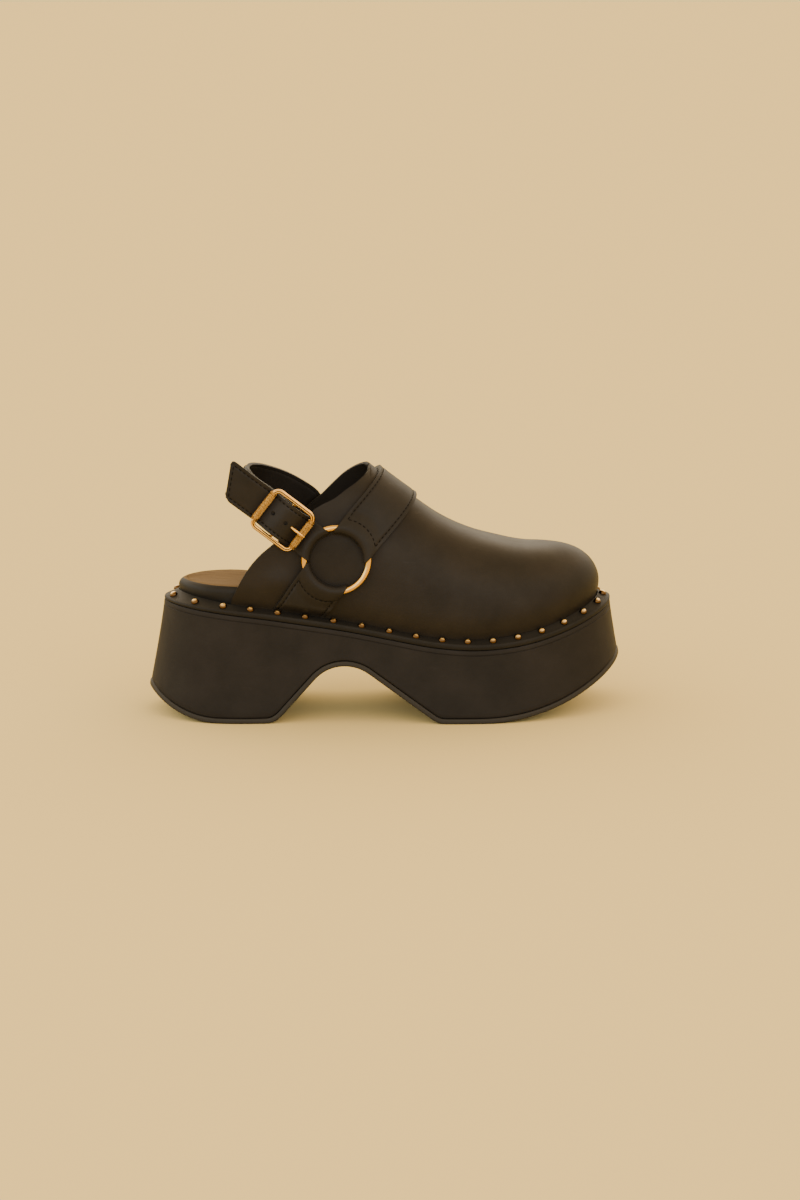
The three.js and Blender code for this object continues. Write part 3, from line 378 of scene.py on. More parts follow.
def hide_group():
    """Waxed leather: a fine pebbled grain, pores, soft clouds of wax and a few faint scuffs."""
    tree = bpy.data.node_groups.new("waxed hide", "ShaderNodeTree")
    grain_size = tree.interface.new_socket(name="Grain size", in_out="INPUT", socket_type="NodeSocketFloat")
    grain_size.default_value = 0.9
    for label in ("Tone", "Gloss", "Height"):
        tree.interface.new_socket(name=label, in_out="OUTPUT", socket_type="NodeSocketFloat")
    given = tree.nodes.new("NodeGroupInput").outputs["Grain size"]
    place = place_in(tree)
    per_metre = math_node(tree, "DIVIDE", 1000.0, given)
    cells = node(tree, "TexVoronoi", feature="SMOOTH_F1", Vector=place, Scale=per_metre, Smoothness=0.6)
    pores = noise(tree, place, 2600.0, 2.0, 0.6)
    clouds = ranged(tree, noise(tree, place, 1000.0 / CLOUD_SIZE, 5.0, 0.62), 0.3, 0.7)
    streak_place = node(tree, "Mapping", Vector=place, Rotation=(0.4, 0.7, 0.3), Scale=(1.0, 1.0, 5.0))
    scuffs = ranged(tree, noise(tree, streak_place, 95.0, 6.0, 0.7), 0.6, 0.78)
    tone = math_node(tree, "ADD", clouds, math_node(tree, "MULTIPLY", scuffs, 0.45))
    speck = math_node(tree, "MULTIPLY", math_node(tree, "SUBTRACT", pores, 0.5), 0.5)
    fill(
        tree.nodes.new("NodeGroupOutput"),
        Tone=math_node(tree, "ADD", tone, speck),
        Gloss=math_node(tree, "ADD", math_node(tree, "MULTIPLY", clouds, 0.6), scuffs),
        Height=math_node(tree, "ADD", cells.outputs["Distance"], math_node(tree, "MULTIPLY", pores, 0.5)),
    )
    return tree


HIDE = hide_group()


def leather(name, dark, light, rough, smooth, relief, grain_size=0.9):
    """A leather finish: two colours mixed by the hide's tone, and gloss and relief from its grain.
    relief is the height of the grain and grain_size the width of its cells, in millimetres."""
    material, tree, shader = new_material(name)
    hide = node(tree, "Group", node_tree=HIDE, Grain_size=grain_size)
    tone, gloss, height = hide.outputs
    fill(
        shader,
        Base_Color=mixed(tree, tone, (*dark, 1), (*light, 1)),
        Roughness=ranged(tree, gloss, 0.0, 1.0, rough, smooth),
        Normal=node(tree, "Bump", Strength=0.55, Distance=relief * MM, Height=height),
        Specular_IOR_Level=LEATHER_SHINE,
    )
    return material


COVER_DARK = (0.0092, 0.0081, 0.008)
COVER_LIGHT = (0.0152, 0.0135, 0.0133)
cover_leather = leather("platform cover leather", COVER_DARK, COVER_LIGHT, 0.66, 0.55, relief=0.035)
platform = sheet("platform_block", platform_rows, closed=True, whole=True)
finish_surface(platform, cover_leather)
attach(platform, "root")
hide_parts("platform")


# Outsole
# A 3 mm sheet of black rubber, cut a little proud of the block and glued along its whole tread. Its edge is
# ground smooth and its underside has moulded ribs across.
OUTSOLE_PROUD = 0.5
RUBBER_DARK = (0.012, 0.0107, 0.0095, 1)
RUBBER_LIGHT = (0.023, 0.0205, 0.018, 1)
outsole_top = tread_raised(OUTSOLE_THICKNESS)
tread_height = tread_raised(0)
top_depth = depth_to(outsole_top, OUTSOLE_PROUD)
tread_depth = depth_to(tread_height, OUTSOLE_PROUD)

# Share of the sheet's height and how far proud
OUTSOLE_EDGE = (
    (0, -0.9), (0.04, -0.35), (0.14, -0.06), (0.3, 0),
    (0.7, 0), (0.86, -0.1), (0.96, -0.4), (1, -0.9),
)
thickness = tread_depth - top_depth
outsole_edge = [wall(top_depth + thickness * share, OUTSOLE_PROUD + proud) for share, proud in OUTSOLE_EDGE]
sole_top, sole_foot = (row[:, :2] for row in (outsole_edge[0], outsole_edge[-1]))
outsole_rows = [raised_to(xy, outsole_top) for xy in towards_middle(sole_top, MIDDLE_SHARES)]
outsole_rows += outsole_edge
outsole_rows += [raised_to(xy, tread_height) for xy in towards_middle(sole_foot, MIDDLE_SHARES[::-1])]


def rubber_material():
    """Matt black rubber with a ground edge. The ribs of the tread show only where the surface faces down."""
    material, tree, shader = new_material("outsole rubber")
    place = place_in(tree)
    ribs = node(tree, "TexWave", wave_type="BANDS", bands_direction="X", Vector=place, Scale=52.0)
    facing = node(tree, "SeparateXYZ", Vector=node(tree, "NewGeometry").outputs["Normal"]).outputs["Z"]
    down = ranged(tree, facing, -0.6, -0.8)
    tread = math_node(tree, "MULTIPLY", math_node(tree, "MULTIPLY", ribs.outputs[0], down), 8.0)
    relief = math_node(tree, "ADD", tread, noise(tree, place, 1400.0, 3.0))
    fill(
        shader,
        Base_Color=mixed(tree, noise(tree, place, 60.0, 6.0, 0.65), RUBBER_DARK, RUBBER_LIGHT),
        Normal=node(tree, "Bump", Strength=0.6, Distance=0.08 * MM, Height=relief),
        Roughness=0.6,
        Specular_IOR_Level=0.3,
    )
    return material


outsole = sheet("outsole_sheet", outsole_rows, closed=True, whole=True)
finish_surface(outsole, rubber_material(), angle=50)
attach(outsole, "root")
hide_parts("outsole")


# Nailed strip
# A band of thick leather moulded round the platform's top edge. It slopes up to the upper, whose foot is held
# behind it, and is wider round the bare heel and the toe. Its outer edge is rounded and burnished.
UPPER_WALL = 2.2
STRIP_WIDTH = 5.2
STRIP_WIDTH_AT_HEEL = 6.2
STRIP_WIDTH_AT_TOE = 7.2
QUARTER_BACK = length_at(0.142)
HEEL_BLEND = 14


# Heights of the strip's outer edge and of its inner side
STRIP_EDGE = ((0, 1.8), (0.12, 2.6), (0.24, 3.4), (0.6, 3.4), (0.8, 3.2), (1, 2.8))
STRIP_INNER = ((0, 6), (0.12, 5.4), (0.24, 5), (0.6, 5), (0.8, 6), (1, 7.2))


def between(low, high, x):
    """A smooth step from 0 to 1."""
    t = np.clip((x - low) / (high - low), 0, 1)
    return t * t * (3 - 2 * t)


def strip_width(x):
    wider_at_heel = (STRIP_WIDTH_AT_HEEL - STRIP_WIDTH) * (1 - between(-HEEL_BACK, QUARTER_BACK, x))
    wider_at_toe = (STRIP_WIDTH_AT_TOE - STRIP_WIDTH) * between(length_at(0.86), length_at(0.99), x)
    return STRIP_WIDTH + wider_at_heel + wider_at_toe


def bare_heel(x):
    """1 round the heel behind the upper, and 0 beside it."""
    return 1 - between(QUARTER_BACK - HEEL_BLEND, QUARTER_BACK - 1, x)


def strip_inset(x):
    return strip_width(x) + (UPPER_WALL + GAP) * bare_heel(x)


def on_platform(x):
    """Height of what lies on the platform's top, with the gap between them."""
    return platform_top(x) + GAP


def strip_section(inset, out, edge, inner, rise):
    """One line round the strip: a share of its width in from the edge, then out from there. Its height is a
    share of the edge's height and of the inner side's, and a rise above that."""
    xy = moved(RING, -strip_inset(RING[:, 0]) * inset + out)
    along = along_at(xy[:, 0])
    height = edge * column(STRIP_EDGE, along) + inner * column(STRIP_INNER, along) + rise
    return np.column_stack([xy, on_platform(xy[:, 0]) + height])


# Lines of the strip's section, as strip_section takes them
STRIP_SECTION = (
    (1, 0, 0, 0, 0), (0, -0.5, 0, 0, 0), (0, -0.14, 0, 0, 0.13), (0, 0, 0, 0, 0.4), (0, 0.05, 0.45, 0, 0),
    (0, 0, 1, 0, -0.85), (0, -0.2, 1, 0, -0.42), (0, -0.55, 1, 0, -0.12), (0, -1.05, 1, 0, 0.06),
    (0.4, 0, 0.76, 0.24, 0.16), (0.65, 0, 0.44, 0.56, 0.18), (1, 0.9, 0.18, 0.82, 0.1),
    (1, 0.25, 0, 1, -0.05), (1, 0, 0, 1, -0.4), (1, 0, 0, 0, 0),
)
strip_leather = leather("strip leather", (0.007, 0.0065, 0.006), (0.012, 0.011, 0.01), 0.62, 0.5, relief=0.03)
strip = sheet("strip_band", [strip_section(*line) for line in STRIP_SECTION], closed=True, whole=True)
finish_surface(strip, strip_leather, angle=60)
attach(strip, "root")
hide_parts("nailed_strip")


# Nails
# Domed heads of brass driven through the strip one after another, with painted shade round each dome so only
# its top is bright.
# Each stands for its CAD nail and leans out with the strip's slope.
NAIL_RADIUS = 2.25
NAIL_HEIGHT = 1.9
NAIL_INSET = 0.6
NAIL_LIFT = 0.06
SHOULDER = 1
NAIL_BRASS = (0.95, 0.72, 0.36)
# Colour of the painted shade on the lower part of each nail's dome.
NAIL_PAINTED_SHADE = (0.1, 0.055, 0.022)


TARNISH = (0.82, 0.76, 0.66)


def brass(name, colour, rough, mark_size):
    """Polished brass with faint handling marks and a little tarnish in soft patches."""
    material, tree, shader = new_material(name)
    place = place_in(tree)
    tarnish = ranged(tree, noise(tree, place, 1000.0 / mark_size, 4.0, 0.6), 0.45, 0.75)
    dull = (*(bright * share for bright, share in zip(colour, TARNISH)), 1)
    marks = noise(tree, place, 3000.0, 3.0, 0.7)
    fill(
        shader,
        Base_Color=mixed(tree, tarnish, (*colour, 1), dull),
        Roughness=ranged(tree, marks, 0.0, 1.0, rough * 0.75, rough * 1.4),
        Normal=node(tree, "Bump", Strength=0.25, Distance=0.02 * MM, Height=marks),
        Metallic=1.0,
    )
    return material, tree, shader


def darkened(tree, shader, where, colour):
    """Lays a darker colour over a brass where a number is 1. On the nails it is painted shade."""
    bright = shader.inputs["Base Color"].links[0].from_socket
    fill(shader, Base_Color=mixed(tree, where, bright, (*colour, 1)))


def uv_in(tree):
    return node(tree, "SeparateXYZ", Vector=node(tree, "UVMap")).outputs


def nail_material():
    """Brass with painted shade round the lower part of the dome, by the height on its UV map, so only its
    middle stays bright.
    """
    material, tree, shader = brass("nail brass with painted shade", NAIL_BRASS, 0.16, 3.0)
    # Painted shade: the dark colour on the dome's lower part stands in for the dark strip reflected there.
    darkened(tree, shader, ranged(tree, uv_in(tree)["Y"], 0.91, 0.75), NAIL_PAINTED_SHADE)
    return material


bpy.ops.mesh.primitive_uv_sphere_add(segments=24, ring_count=16, radius=NAIL_RADIUS * MM)
nail_head = bpy.context.object
bpy.ops.object.mode_set(mode="EDIT")
bpy.ops.mesh.select_all(action="SELECT")
bpy.ops.mesh.bisect(plane_co=(0, 0, 0), plane_no=(0, 0, 1), clear_inner=True, use_fill=True)
bpy.ops.object.mode_set(mode="OBJECT")
nail_head.scale.z = NAIL_HEIGHT / NAIL_RADIUS
bpy.ops.object.transform_apply(location=False, rotation=False, scale=True)
finish_surface(nail_head, nail_material())
for cad_name in sorted(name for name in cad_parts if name.startswith("nail_")):
    low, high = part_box(cad_name)
    centre = np.array((low + high)[:2]) / 2 / MM
    near = RING[np.argmin(np.hypot(*(RING[:, :2] - centre).T))]
    ahead = np.array([-near[3], near[2]])
    inset = strip_width(near[0]) * NAIL_INSET
    x, y = near[:2] + ahead * ((centre - near[:2]) @ ahead) - near[2:] * inset
    edge = column(STRIP_EDGE, along_at(near[0]))
    lean = (column(STRIP_INNER, along_at(near[0])) - edge) / (strip_inset(near[0]) - SHOULDER)
    base = on_platform(x) + edge + lean * (inset - SHOULDER) + NAIL_LIFT
    slope = (platform_top(x + 1) - platform_top(x - 1)) / 2
    up = Vector((near[2] * lean - slope, near[3] * lean, 1))
    placing = Matrix.Translation(Vector((x, y, base)) * MM) @ up.to_track_quat("Z", "X").to_matrix().to_4x4()
    nail = nail_head.copy()
    nail.data = nail_head.data.copy()
    nail.data.transform(placing)
    nail.name = nail.data.name = cad_name.replace("nail_", "nail_head_")
    bpy.context.collection.objects.link(nail)
    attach(nail, "root")
    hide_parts(cad_name)
bpy.data.objects.remove(nail_head)


# Footbed
# A padded board: its side and rolled edge are wrapped in black leather over a thin bead, and its dished top
# is brown suede with a brushed nap.
FOOTBED_THICKNESS = 14.6
FOOTBED_CLEAR_AT_HEEL = 0.75
FOOTBED_CLEAR_AT_TOE = 1.4
EDGE_DROP = 4.2
EDGE_INSET = 3.3
SEAT_DISH = 0.8
ROLL_BULGE = 1
SUEDE_DARK = (0.075, 0.044, 0.016, 1)
SUEDE_LIGHT = (0.18, 0.118, 0.052, 1)

# Height of the footbed along the platform, the bead round its foot (in from the side, and up), its side above
# that (share of the height, and in) and where the seat's rings lie between its edge and its middle
FOOTBED_LINE = ((0.03, 0.87), (0.1, 0.95), (0.18, 1.06), (0.26, 1.06), (0.4, 0.78), (0.55, 0.6), (0.98, 0.5))
BEAD = ((0.25, 0), (0.02, 0.35), (-0.1, 0.9), (0, 1.5), (0.3, 1.9), (0.42, 2.15), (0.3, 2.4))
FOOTBED_SIDE = ((0.55, -0.05), (0.7, -0.1), (0.85, -0.05), (1, 0))
SEAT_SHARES = (0.05, 0.12, 0.22, 0.35, 0.5, 0.67, 0.84, 1)
ROLL_FROM = 0.5
ROLL_TO = 0.85


def upper_foot_inset(x):
    return strip_width(x) + GAP


def footbed_inset(x):
    toe = between(QUARTER_BACK, length_at(0.9), x)
    clear = FOOTBED_CLEAR_AT_HEEL + (FOOTBED_CLEAR_AT_TOE - FOOTBED_CLEAR_AT_HEEL) * toe
    return upper_foot_inset(x) + UPPER_WALL + clear


def footbed_top(x):
    return on_platform(x) + column(FOOTBED_LINE, along_at(x)) * FOOTBED_THICKNESS


def footbed_side(inward):
    """The plan of the footbed's side, moved in."""
    return moved(RING, -footbed_inset(RING[:, 0]) - inward)


def footbed_ring(inward, share, drop):
    """A ring round the footbed: in from its side, at a share of its height and a drop below that. Round the
    bare heel its roll swells out above the strip."""
    swell = ROLL_BULGE * bare_heel(RING[:, 0]) * between(ROLL_FROM, ROLL_TO, share)
    xy = footbed_side(inward - swell * (1 - inward / EDGE_INSET))
    low = on_platform(xy[:, 0])
    return np.column_stack([xy, low + (footbed_top(xy[:, 0]) - low - EDGE_DROP) * share + EDGE_DROP - drop])


def seat(xy, share):
    """The dished top, which falls smoothly from the rolled edge to the middle."""
    dish = SEAT_DISH * math.sin(share * math.pi / 2) ** 2
    return np.column_stack([xy, footbed_top(xy[:, 0]) - dish])


footbed_rows = [raised_to(xy, on_platform) for xy in towards_middle(footbed_side(0), (1, 0.5, 0.1))]
for inward, rise in BEAD:
    xy = footbed_side(inward)
    footbed_rows.append(np.column_stack([xy, on_platform(xy[:, 0]) + rise]))
for share, inward in FOOTBED_SIDE:
    footbed_rows.append(footbed_ring(inward, share, EDGE_DROP))
for turn in np.linspace(0, math.pi / 2, 9)[1:]:
    footbed_rows.append(footbed_ring(EDGE_INSET * (1 - math.cos(turn)), 1, EDGE_DROP * (1 - math.sin(turn))))
suede_row = len(footbed_rows) - 4
for share in SEAT_SHARES:
    footbed_rows.append(seat(towards_middle(footbed_side(EDGE_INSET), (share,))[0], share))


def colour_ramp(tree, value, rows):
    """Colours at places from 0 to 1."""
    ramp = node(tree, "ValToRGB", Fac=value)
    stops = ramp.color_ramp.elements
    while len(stops) < len(rows):
        stops.new(1)
    for stop, (place, colour) in zip(stops, rows):
        stop.position = place
        stop.color = colour
    return ramp.outputs[0]


def suede_material():
    """Brown suede: short nap in brushed patches."""
    material, tree, shader = new_material("footbed suede")
    place = place_in(tree)
    brushed = node(tree, "Mapping", Vector=place, Scale=(0.5, 3.2, 1.0))
    nap = noise(tree, brushed, 120.0, 6.0, 0.7)
    fibre = noise(tree, place, 2400.0, 3.0, 0.7)
    fine = math_node(tree, "MULTIPLY", fibre, 0.4)
    tone = math_node(tree, "ADD", math_node(tree, "MULTIPLY", nap, 0.75), fine)
    fill(
        shader,
        Base_Color=colour_ramp(tree, tone, ((0.3, SUEDE_DARK), (0.8, SUEDE_LIGHT))),
        Normal=node(tree, "Bump", Strength=0.7, Distance=0.12 * MM, Height=fibre),
        Roughness=0.88,
        Specular_IOR_Level=0.15,
    )
    return material


WRAP_DARK = (0.008, 0.0072, 0.0065)
WRAP_LIGHT = (0.013, 0.012, 0.011)
wrap_leather = leather("footbed wrap leather", WRAP_DARK, WRAP_LIGHT, 0.58, 0.46, relief=0.03)
footbed = sheet("footbed_pad", footbed_rows, closed=True, whole=True)
finish_surface(footbed, wrap_leather, angle=50)
footbed.data.materials.append(suede_material())
suede_height = (suede_row + 0.5) / (len(footbed_rows) - 1)
uv = footbed.data.uv_layers.active.data
for face in footbed.data.polygons:
    if np.mean([uv[loop].uv[1] for loop in face.loop_indices]) > suede_height:
        face.material_index = 1
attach(footbed, "root")
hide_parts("footbed")


# Upper
# One hide drawn over the last, closed over vamp and toe and open behind the instep. Its foot goes down behind
# the strip, and a thin lining is turned up to its collar edge.
UPPER_BULGE = 2.4
BULGE_HEIGHT = 14
INSTEP_HEIGHT = 95
TOE_ROUNDNESS = 2.95
INSTEP_ROUNDNESS = 2.3
POLE_X = length_at(0.8175)
POLE_Y = 0.03 * BALL_WIDTH
LATERAL = -1
MEDIAL = 1
SIDES = (LATERAL, MEDIAL)
CROWN = (
    (0, 1.16), (0.12, 1.18), (0.24, 1.18), (0.34, 1.13), (0.4, 1.065), (0.455, 0.99), (0.5, 0.912),
    (0.56, 0.818), (0.62, 0.724), (0.69, 0.642), (0.75, 0.585), (0.785, 0.55), (0.8175, 0.522),
)

# The collar in the side view: along, and up as a share of the instep's height above the platform's top
COLLAR = {
    LATERAL: (
        (0.142, -0.05), (0.1467, 0.075), (0.159, 0.157), (0.1724, 0.232), (0.19, 0.31), (0.2105, 0.38),
        (0.2305, 0.434), (0.27, 0.535), (0.3, 0.617), (0.331, 0.7), (0.349, 0.735), (0.3745, 0.778),
        (0.4, 0.837), (0.43, 0.902), (0.453, 0.964), (0.468, 1.06),
    ),
    MEDIAL: (
        (0.162, -0.05), (0.1705, 0.05), (0.1825, 0.112), (0.2, 0.184), (0.2205, 0.255), (0.2405, 0.312),
        (0.26, 0.375), (0.283, 0.475), (0.309, 0.578), (0.332, 0.65), (0.353, 0.707), (0.383, 0.807),
        (0.408, 0.886), (0.436, 0.953), (0.468, 1.01),
    ),
}
QUARTER_RIBS = 90
BODY_RIBS = 64
TOE_RIBS = 56
RIB_POINTS = 52
RIB_SPREAD = 1.12
HIDE_THICKNESS = 1.3
LINING_DEPTH = 1.45
LINING_THICKNESS = 0.75
QUARTER_SWELL = 1.3
SWELL_PLACE = (25, 81)
SWELL_REACH = (9, 6.5)
NEAR_POLE = 12
TOE_CAP = (0.012, 0.03)
TOE_SMOOTHING = 24
UPPER_DARK = (0.0095, 0.0074, 0.0053)
UPPER_LIGHT = (0.0168, 0.0132, 0.0098)
LINING_DARK = (0.01, 0.009, 0.0085)
LINING_LIGHT = (0.016, 0.0145, 0.0135)

foot_line = moved(RING, -upper_foot_inset(RING[:, 0]))
lateral_foot = foot_line[: POINTS_A_SIDE + 1]
medial_foot = np.vstack([foot_line[:1], foot_line[POINTS_A_SIDE:][::-1]])


def crown_height(x):
    return platform_top(x) + column(CROWN, along_at(x)) * INSTEP_HEIGHT


def middle_at(x):
    return POLE_Y * between(length_at(0.4), POLE_X, x)


def roundness_at(x):
    return INSTEP_ROUNDNESS + (TOE_ROUNDNESS - INSTEP_ROUNDNESS) * between(length_at(0.45), POLE_X, x)


def run_to_foot(x, side):
    """Distance from the last's middle out to its foot line, straight across the shoe."""
    line = lateral_foot if side == LATERAL else medial_foot
    return np.abs(np.interp(x, line[:, 0], line[:, 1]) - middle_at(x))


def strip_clear(x):
    """Height of the strip's inner side above the platform's top."""
    return column(STRIP_INNER, along_at(x)) + GAP


def tuck_at(height, x):
    """How far the hide is drawn in above the strip."""
    clear = np.maximum(0, height - strip_clear(x))
    return UPPER_BULGE * np.maximum(0, 1 - clear / BULGE_HEIGHT) ** 2


def swell_at(x, z):
    """The soft swelling of the quarters beside the heel."""
    ahead = (x - SWELL_PLACE[0]) / SWELL_REACH[0]
    up = (z - SWELL_PLACE[1]) / SWELL_REACH[1]
    return QUARTER_SWELL * np.exp(-(ahead**2) - up**2)


def collar_line(side):
    """The collar in the side view, from where it leaves the strip, and held under the crown line."""
    rows = COLLAR[side]
    points = [(length_at(a), platform_top(length_at(a)) + up * INSTEP_HEIGHT) for a, up in rows]
    line = through(points)
    line = line[line[:, 1] > on_platform(line[:, 0]) + 1]
    line[:, 1] = np.minimum(line[:, 1], crown_height(line[:, 0]))
    return line


def throat_x():
    places = []
    for side in COLLAR:
        line = collar_line(side)
        closed = np.abs(line[:, 1] - crown_height(line[:, 0])) < 1e-6
        places.append(line[np.argmax(closed), 0])
    return max(places)


THROAT_X = throat_x()


def toe_runs(angles):
    """Distance from the toe's pole out to the foot line, in directions in plan."""
    ray = foot_line - (POLE_X, POLE_Y)
    keep = ray[:, 0] > -NEAR_POLE
    turn = np.arctan2(ray[keep, 1], ray[keep, 0])
    order = np.argsort(turn)
    return np.interp(angles, turn[order], np.linalg.norm(ray[keep], axis=1)[order])


def last_rows(offset):
    """The last's surface, moved out by an offset, as rows of points from its foot up to collar or crown.
    A row runs from the outer quarter round the toe to the inner quarter."""
    columns = []
    shared = np.linspace(THROAT_X, POLE_X, BODY_RIBS)[1:]
    for side in SIDES:
        line = collar_line(side)
        line = line[line[:, 0] <= THROAT_X]
        collar = walk(line, np.linspace(0, 1, QUARTER_RIBS))
        x = np.r_[collar[:, 0], shared]
        top = np.r_[collar[:, 1], crown_height(shared)]
        run = run_to_foot(x, side)
        foot = on_platform(x)
        rib = np.column_stack([x, middle_at(x), 0 * x, 0 * x + side, run, foot, crown_height(x), top])
        columns.append(rib if side == LATERAL else rib[::-1])
    angles = np.linspace(-math.pi / 2, math.pi / 2, TOE_RIBS + 1)[1:-1]
    runs = toe_runs(angles)
    feet = on_platform(POLE_X + np.cos(angles) * runs)
    crown = np.full_like(angles, crown_height(POLE_X))
    toe = np.column_stack(
        [0 * angles + POLE_X, 0 * angles + POLE_Y, np.cos(angles), np.sin(angles), runs, feet, crown, crown]
    )
    x, y, dx, dy, run, foot, crown, top = np.vstack([columns[0], toe, columns[1]]).T
    slope = (crown_height(x + 1) - crown_height(x - 1)) / 2 * (x < POLE_X)
    crown = crown + offset * np.hypot(1, slope)
    top = np.minimum(top, crown)
    top = np.where(x > THROAT_X - 1e-6, crown, top)
    roundness = roundness_at(x)
    high = np.arcsin(np.clip((top - foot) / (crown - foot), 0, 1) ** (roundness / 2))
    rows = []
    for share in np.linspace(0, 1, RIB_POINTS + 1):
        angle = high * share**RIB_SPREAD
        z = foot + (crown - foot) * np.sin(angle) ** (2 / roundness)
        out = np.maximum(np.cos(angle), 0) ** (2 / roundness)
        out = np.where(angle > math.pi / 2 - 1e-6, 0, out)
        reach = (run + UPPER_BULGE + offset) * out - tuck_at(z - foot, x + dx * run) * (out > 0)
        reach = reach + swell_at(x, z) * (np.abs(dy) == 1)
        rows.append(np.column_stack([x + dx * reach, y + dy * reach, z]))
    return np.array(rows)


def modify(piece, kind, **settings):
    """Adds a modifier and applies it."""
    bpy.context.view_layer.objects.active = piece
    modifier = piece.modifiers.new(kind.lower(), kind)
    for key, value in settings.items():
        setattr(modifier, key, value)
    bpy.ops.object.modifier_apply(modifier=modifier.name)


def soften_toe(piece):
    """Rubs out the slight peak where the toe's ribs meet."""
    pole = Vector((POLE_X * MM, POLE_Y * MM, crown_height(POLE_X) * MM))
    near = piece.vertex_groups.new(name="toe cap")
    for vertex in piece.data.vertices:
        weight = 1 - between(*TOE_CAP, (vertex.co - pole).length)
        if weight > 0:
            near.add([vertex.index], float(weight), "REPLACE")
    modify(piece, "SMOOTH", factor=0.5, iterations=TOE_SMOOTHING, vertex_group="toe cap")


def shell(name, offset, thickness, edge, segments, material):
    """A skin over the last with its own thickness and a rounded edge."""
    made = sheet(name, last_rows(offset))
    soften_toe(made)
    modify(made, "SOLIDIFY", thickness=thickness * MM, offset=-1, use_even_offset=True)
    limit = math.radians(50)
    modify(made, "BEVEL", width=edge * MM, segments=segments, limit_method="ANGLE", angle_limit=limit)
    finish_surface(made, material, angle=40)
    return made


upper_leather = leather("upper leather", UPPER_DARK, UPPER_LIGHT, 0.56, 0.44, relief=0.04)
upper = shell("upper_hide", 0, HIDE_THICKNESS, 0.4, 3, upper_leather)
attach(upper, "root")
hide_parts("upper")

lining_leather = leather("lining leather", LINING_DARK, LINING_LIGHT, 0.66, 0.56, relief=0.02, grain_size=0.6)
lining = shell("upper_lining", -LINING_DEPTH, LINING_THICKNESS, 0.25, 2, lining_leather)
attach(lining, "root")


# Rings
# Two plain rings of polished brass wire, one on each side of the instep, that lie along the upper and hold
# the folded ends of three straps each.
RING_RADIUS = 18.2
RING_WIRE = 3.6
RING_LIFT = 3.5
RING_PLACE = {LATERAL: (98, 40.2), MEDIAL: (101.3, 44.2)}
BRASS_COLOUR = (0.78, 0.48, 0.15)
RING_NODE = {LATERAL: "lateral_ring", MEDIAL: "medial_ring"}


def side_at(x, z, side):
    """Where the last's surface is, at a place in the side view."""
    foot = on_platform(x)
    up = np.clip((z - foot) / (crown_height(x) - foot), 0, 1)
    roundness = roundness_at(x)
    out = (1 - up**roundness) ** (1 / roundness)
    reach = (run_to_foot(x, side) + UPPER_BULGE) * out - tuck_at(z - foot, x) * (out > 0)
    return middle_at(x) + side * reach


def placed(mesh, directions, spot):
    """Turns a mesh from the axes to three directions and moves it to a spot."""
    turned = Matrix(directions).transposed().to_4x4()
    mesh.transform(Matrix.Translation(Vector(spot * MM)) @ turned)


def ring_frame(side):
    """Middle of a ring in the side view, its middle, and its forward, up and outward directions."""
    forward_by, up_by = RING_PLACE[side]
    x = forward_by - HEEL_BACK
    z = platform_top(x) + up_by
    reach = RING_RADIUS
    fx = (side_at(x + reach, z, side) - side_at(x - reach, z, side)) / (2 * reach)
    fz = (side_at(x, z + reach, side) - side_at(x, z - reach, side)) / (2 * reach)
    out = side * np.array([-fx, 1, -fz])
    out /= np.linalg.norm(out)
    forward = np.array([1, 0, 0]) - out * out[0]
    forward /= np.linalg.norm(forward)
    middle = np.array([x, side_at(x, z, side), z]) + RING_LIFT * out
    return np.array([x, z]), middle, forward, np.cross(out, forward), out


RINGS = {side: ring_frame(side) for side in SIDES}
harness_brass = brass("harness brass", BRASS_COLOUR, 0.17, 6.0)[0]
for side, (_, middle, forward, up, out) in RINGS.items():
    bpy.ops.mesh.primitive_torus_add(
        major_segments=96, minor_segments=24, major_radius=RING_RADIUS * MM, minor_radius=RING_WIRE / 2 * MM
    )
    ring = bpy.context.object
    placed(ring.data, (forward, up, out), middle)
    ring.name = ring.data.name = RING_NODE[side] + "_wire"
    finish_surface(ring, harness_brass)
    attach(ring, "root")
    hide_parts(RING_NODE[side])


# Lower straps
# One on each side: a doubled strap folded round the ring, stitched across close to it and along both edges,
# and drawn down the upper to the strip, where it is pressed flat.
HARNESS_THICKNESS = 2.6
LOWER_STRAP_WIDTH = 27
LOWER_STRAP_FALL = 55.5
LOWER_STRAP_REACH = 60
LOWER_STRAP_ROWS = 90
LOWER_SEAM = 7.1
ROLL_THICKNESS = 1.2
ROLL_RADIUS = RING_WIRE / 2 + GAP + ROLL_THICKNESS
WIRE_POINTS = 1441
ROLL_START = 235
ROLL_END = 100
ROLL_ROWS = 15
FOLD_REACH = 12
FOLD_SLANT = 0.45
SLANT_LIMIT = 0.66
FOLD_LEAVES = 0.9
THIN_REACH = 6
STRAP_EDGE = 0.45
PRESSED_REACH = 7
STRAP_LIFT = 0.55
SEAM_INSET = 2.1
SEAM_DEPTH = 0.5
SEAM_REACH = 0.55
SEAM_LINES = (-0.9, -0.45, 0, 0.45, 0.9)
SEAM_CLEAR = 1.1
STITCH_PITCH = 2.9
STITCH_LENGTH = 2.1
STITCH_THREAD = 0.65
STITCH_LIFT = 0.02
STITCH_NUDGE = 0.002
EDGE_POINTS = 60
CROSS_POINTS = 40
# Black thread, painted darker than the leather to stand for the shade in the stitch holes.
THREAD_DARK_WITH_PAINTED_SHADE = (0.0015, 0.0012, 0.001, 1)
THREAD_LIGHT_WITH_PAINTED_SHADE = (0.005, 0.004, 0.0032, 1)
STRAP_DARK = (0.0095, 0.0083, 0.0075)
STRAP_LIGHT = (0.0168, 0.0146, 0.0132)
LOWER_NODE = {LATERAL: "lateral_lower_strap", MEDIAL: "medial_lower_strap"}


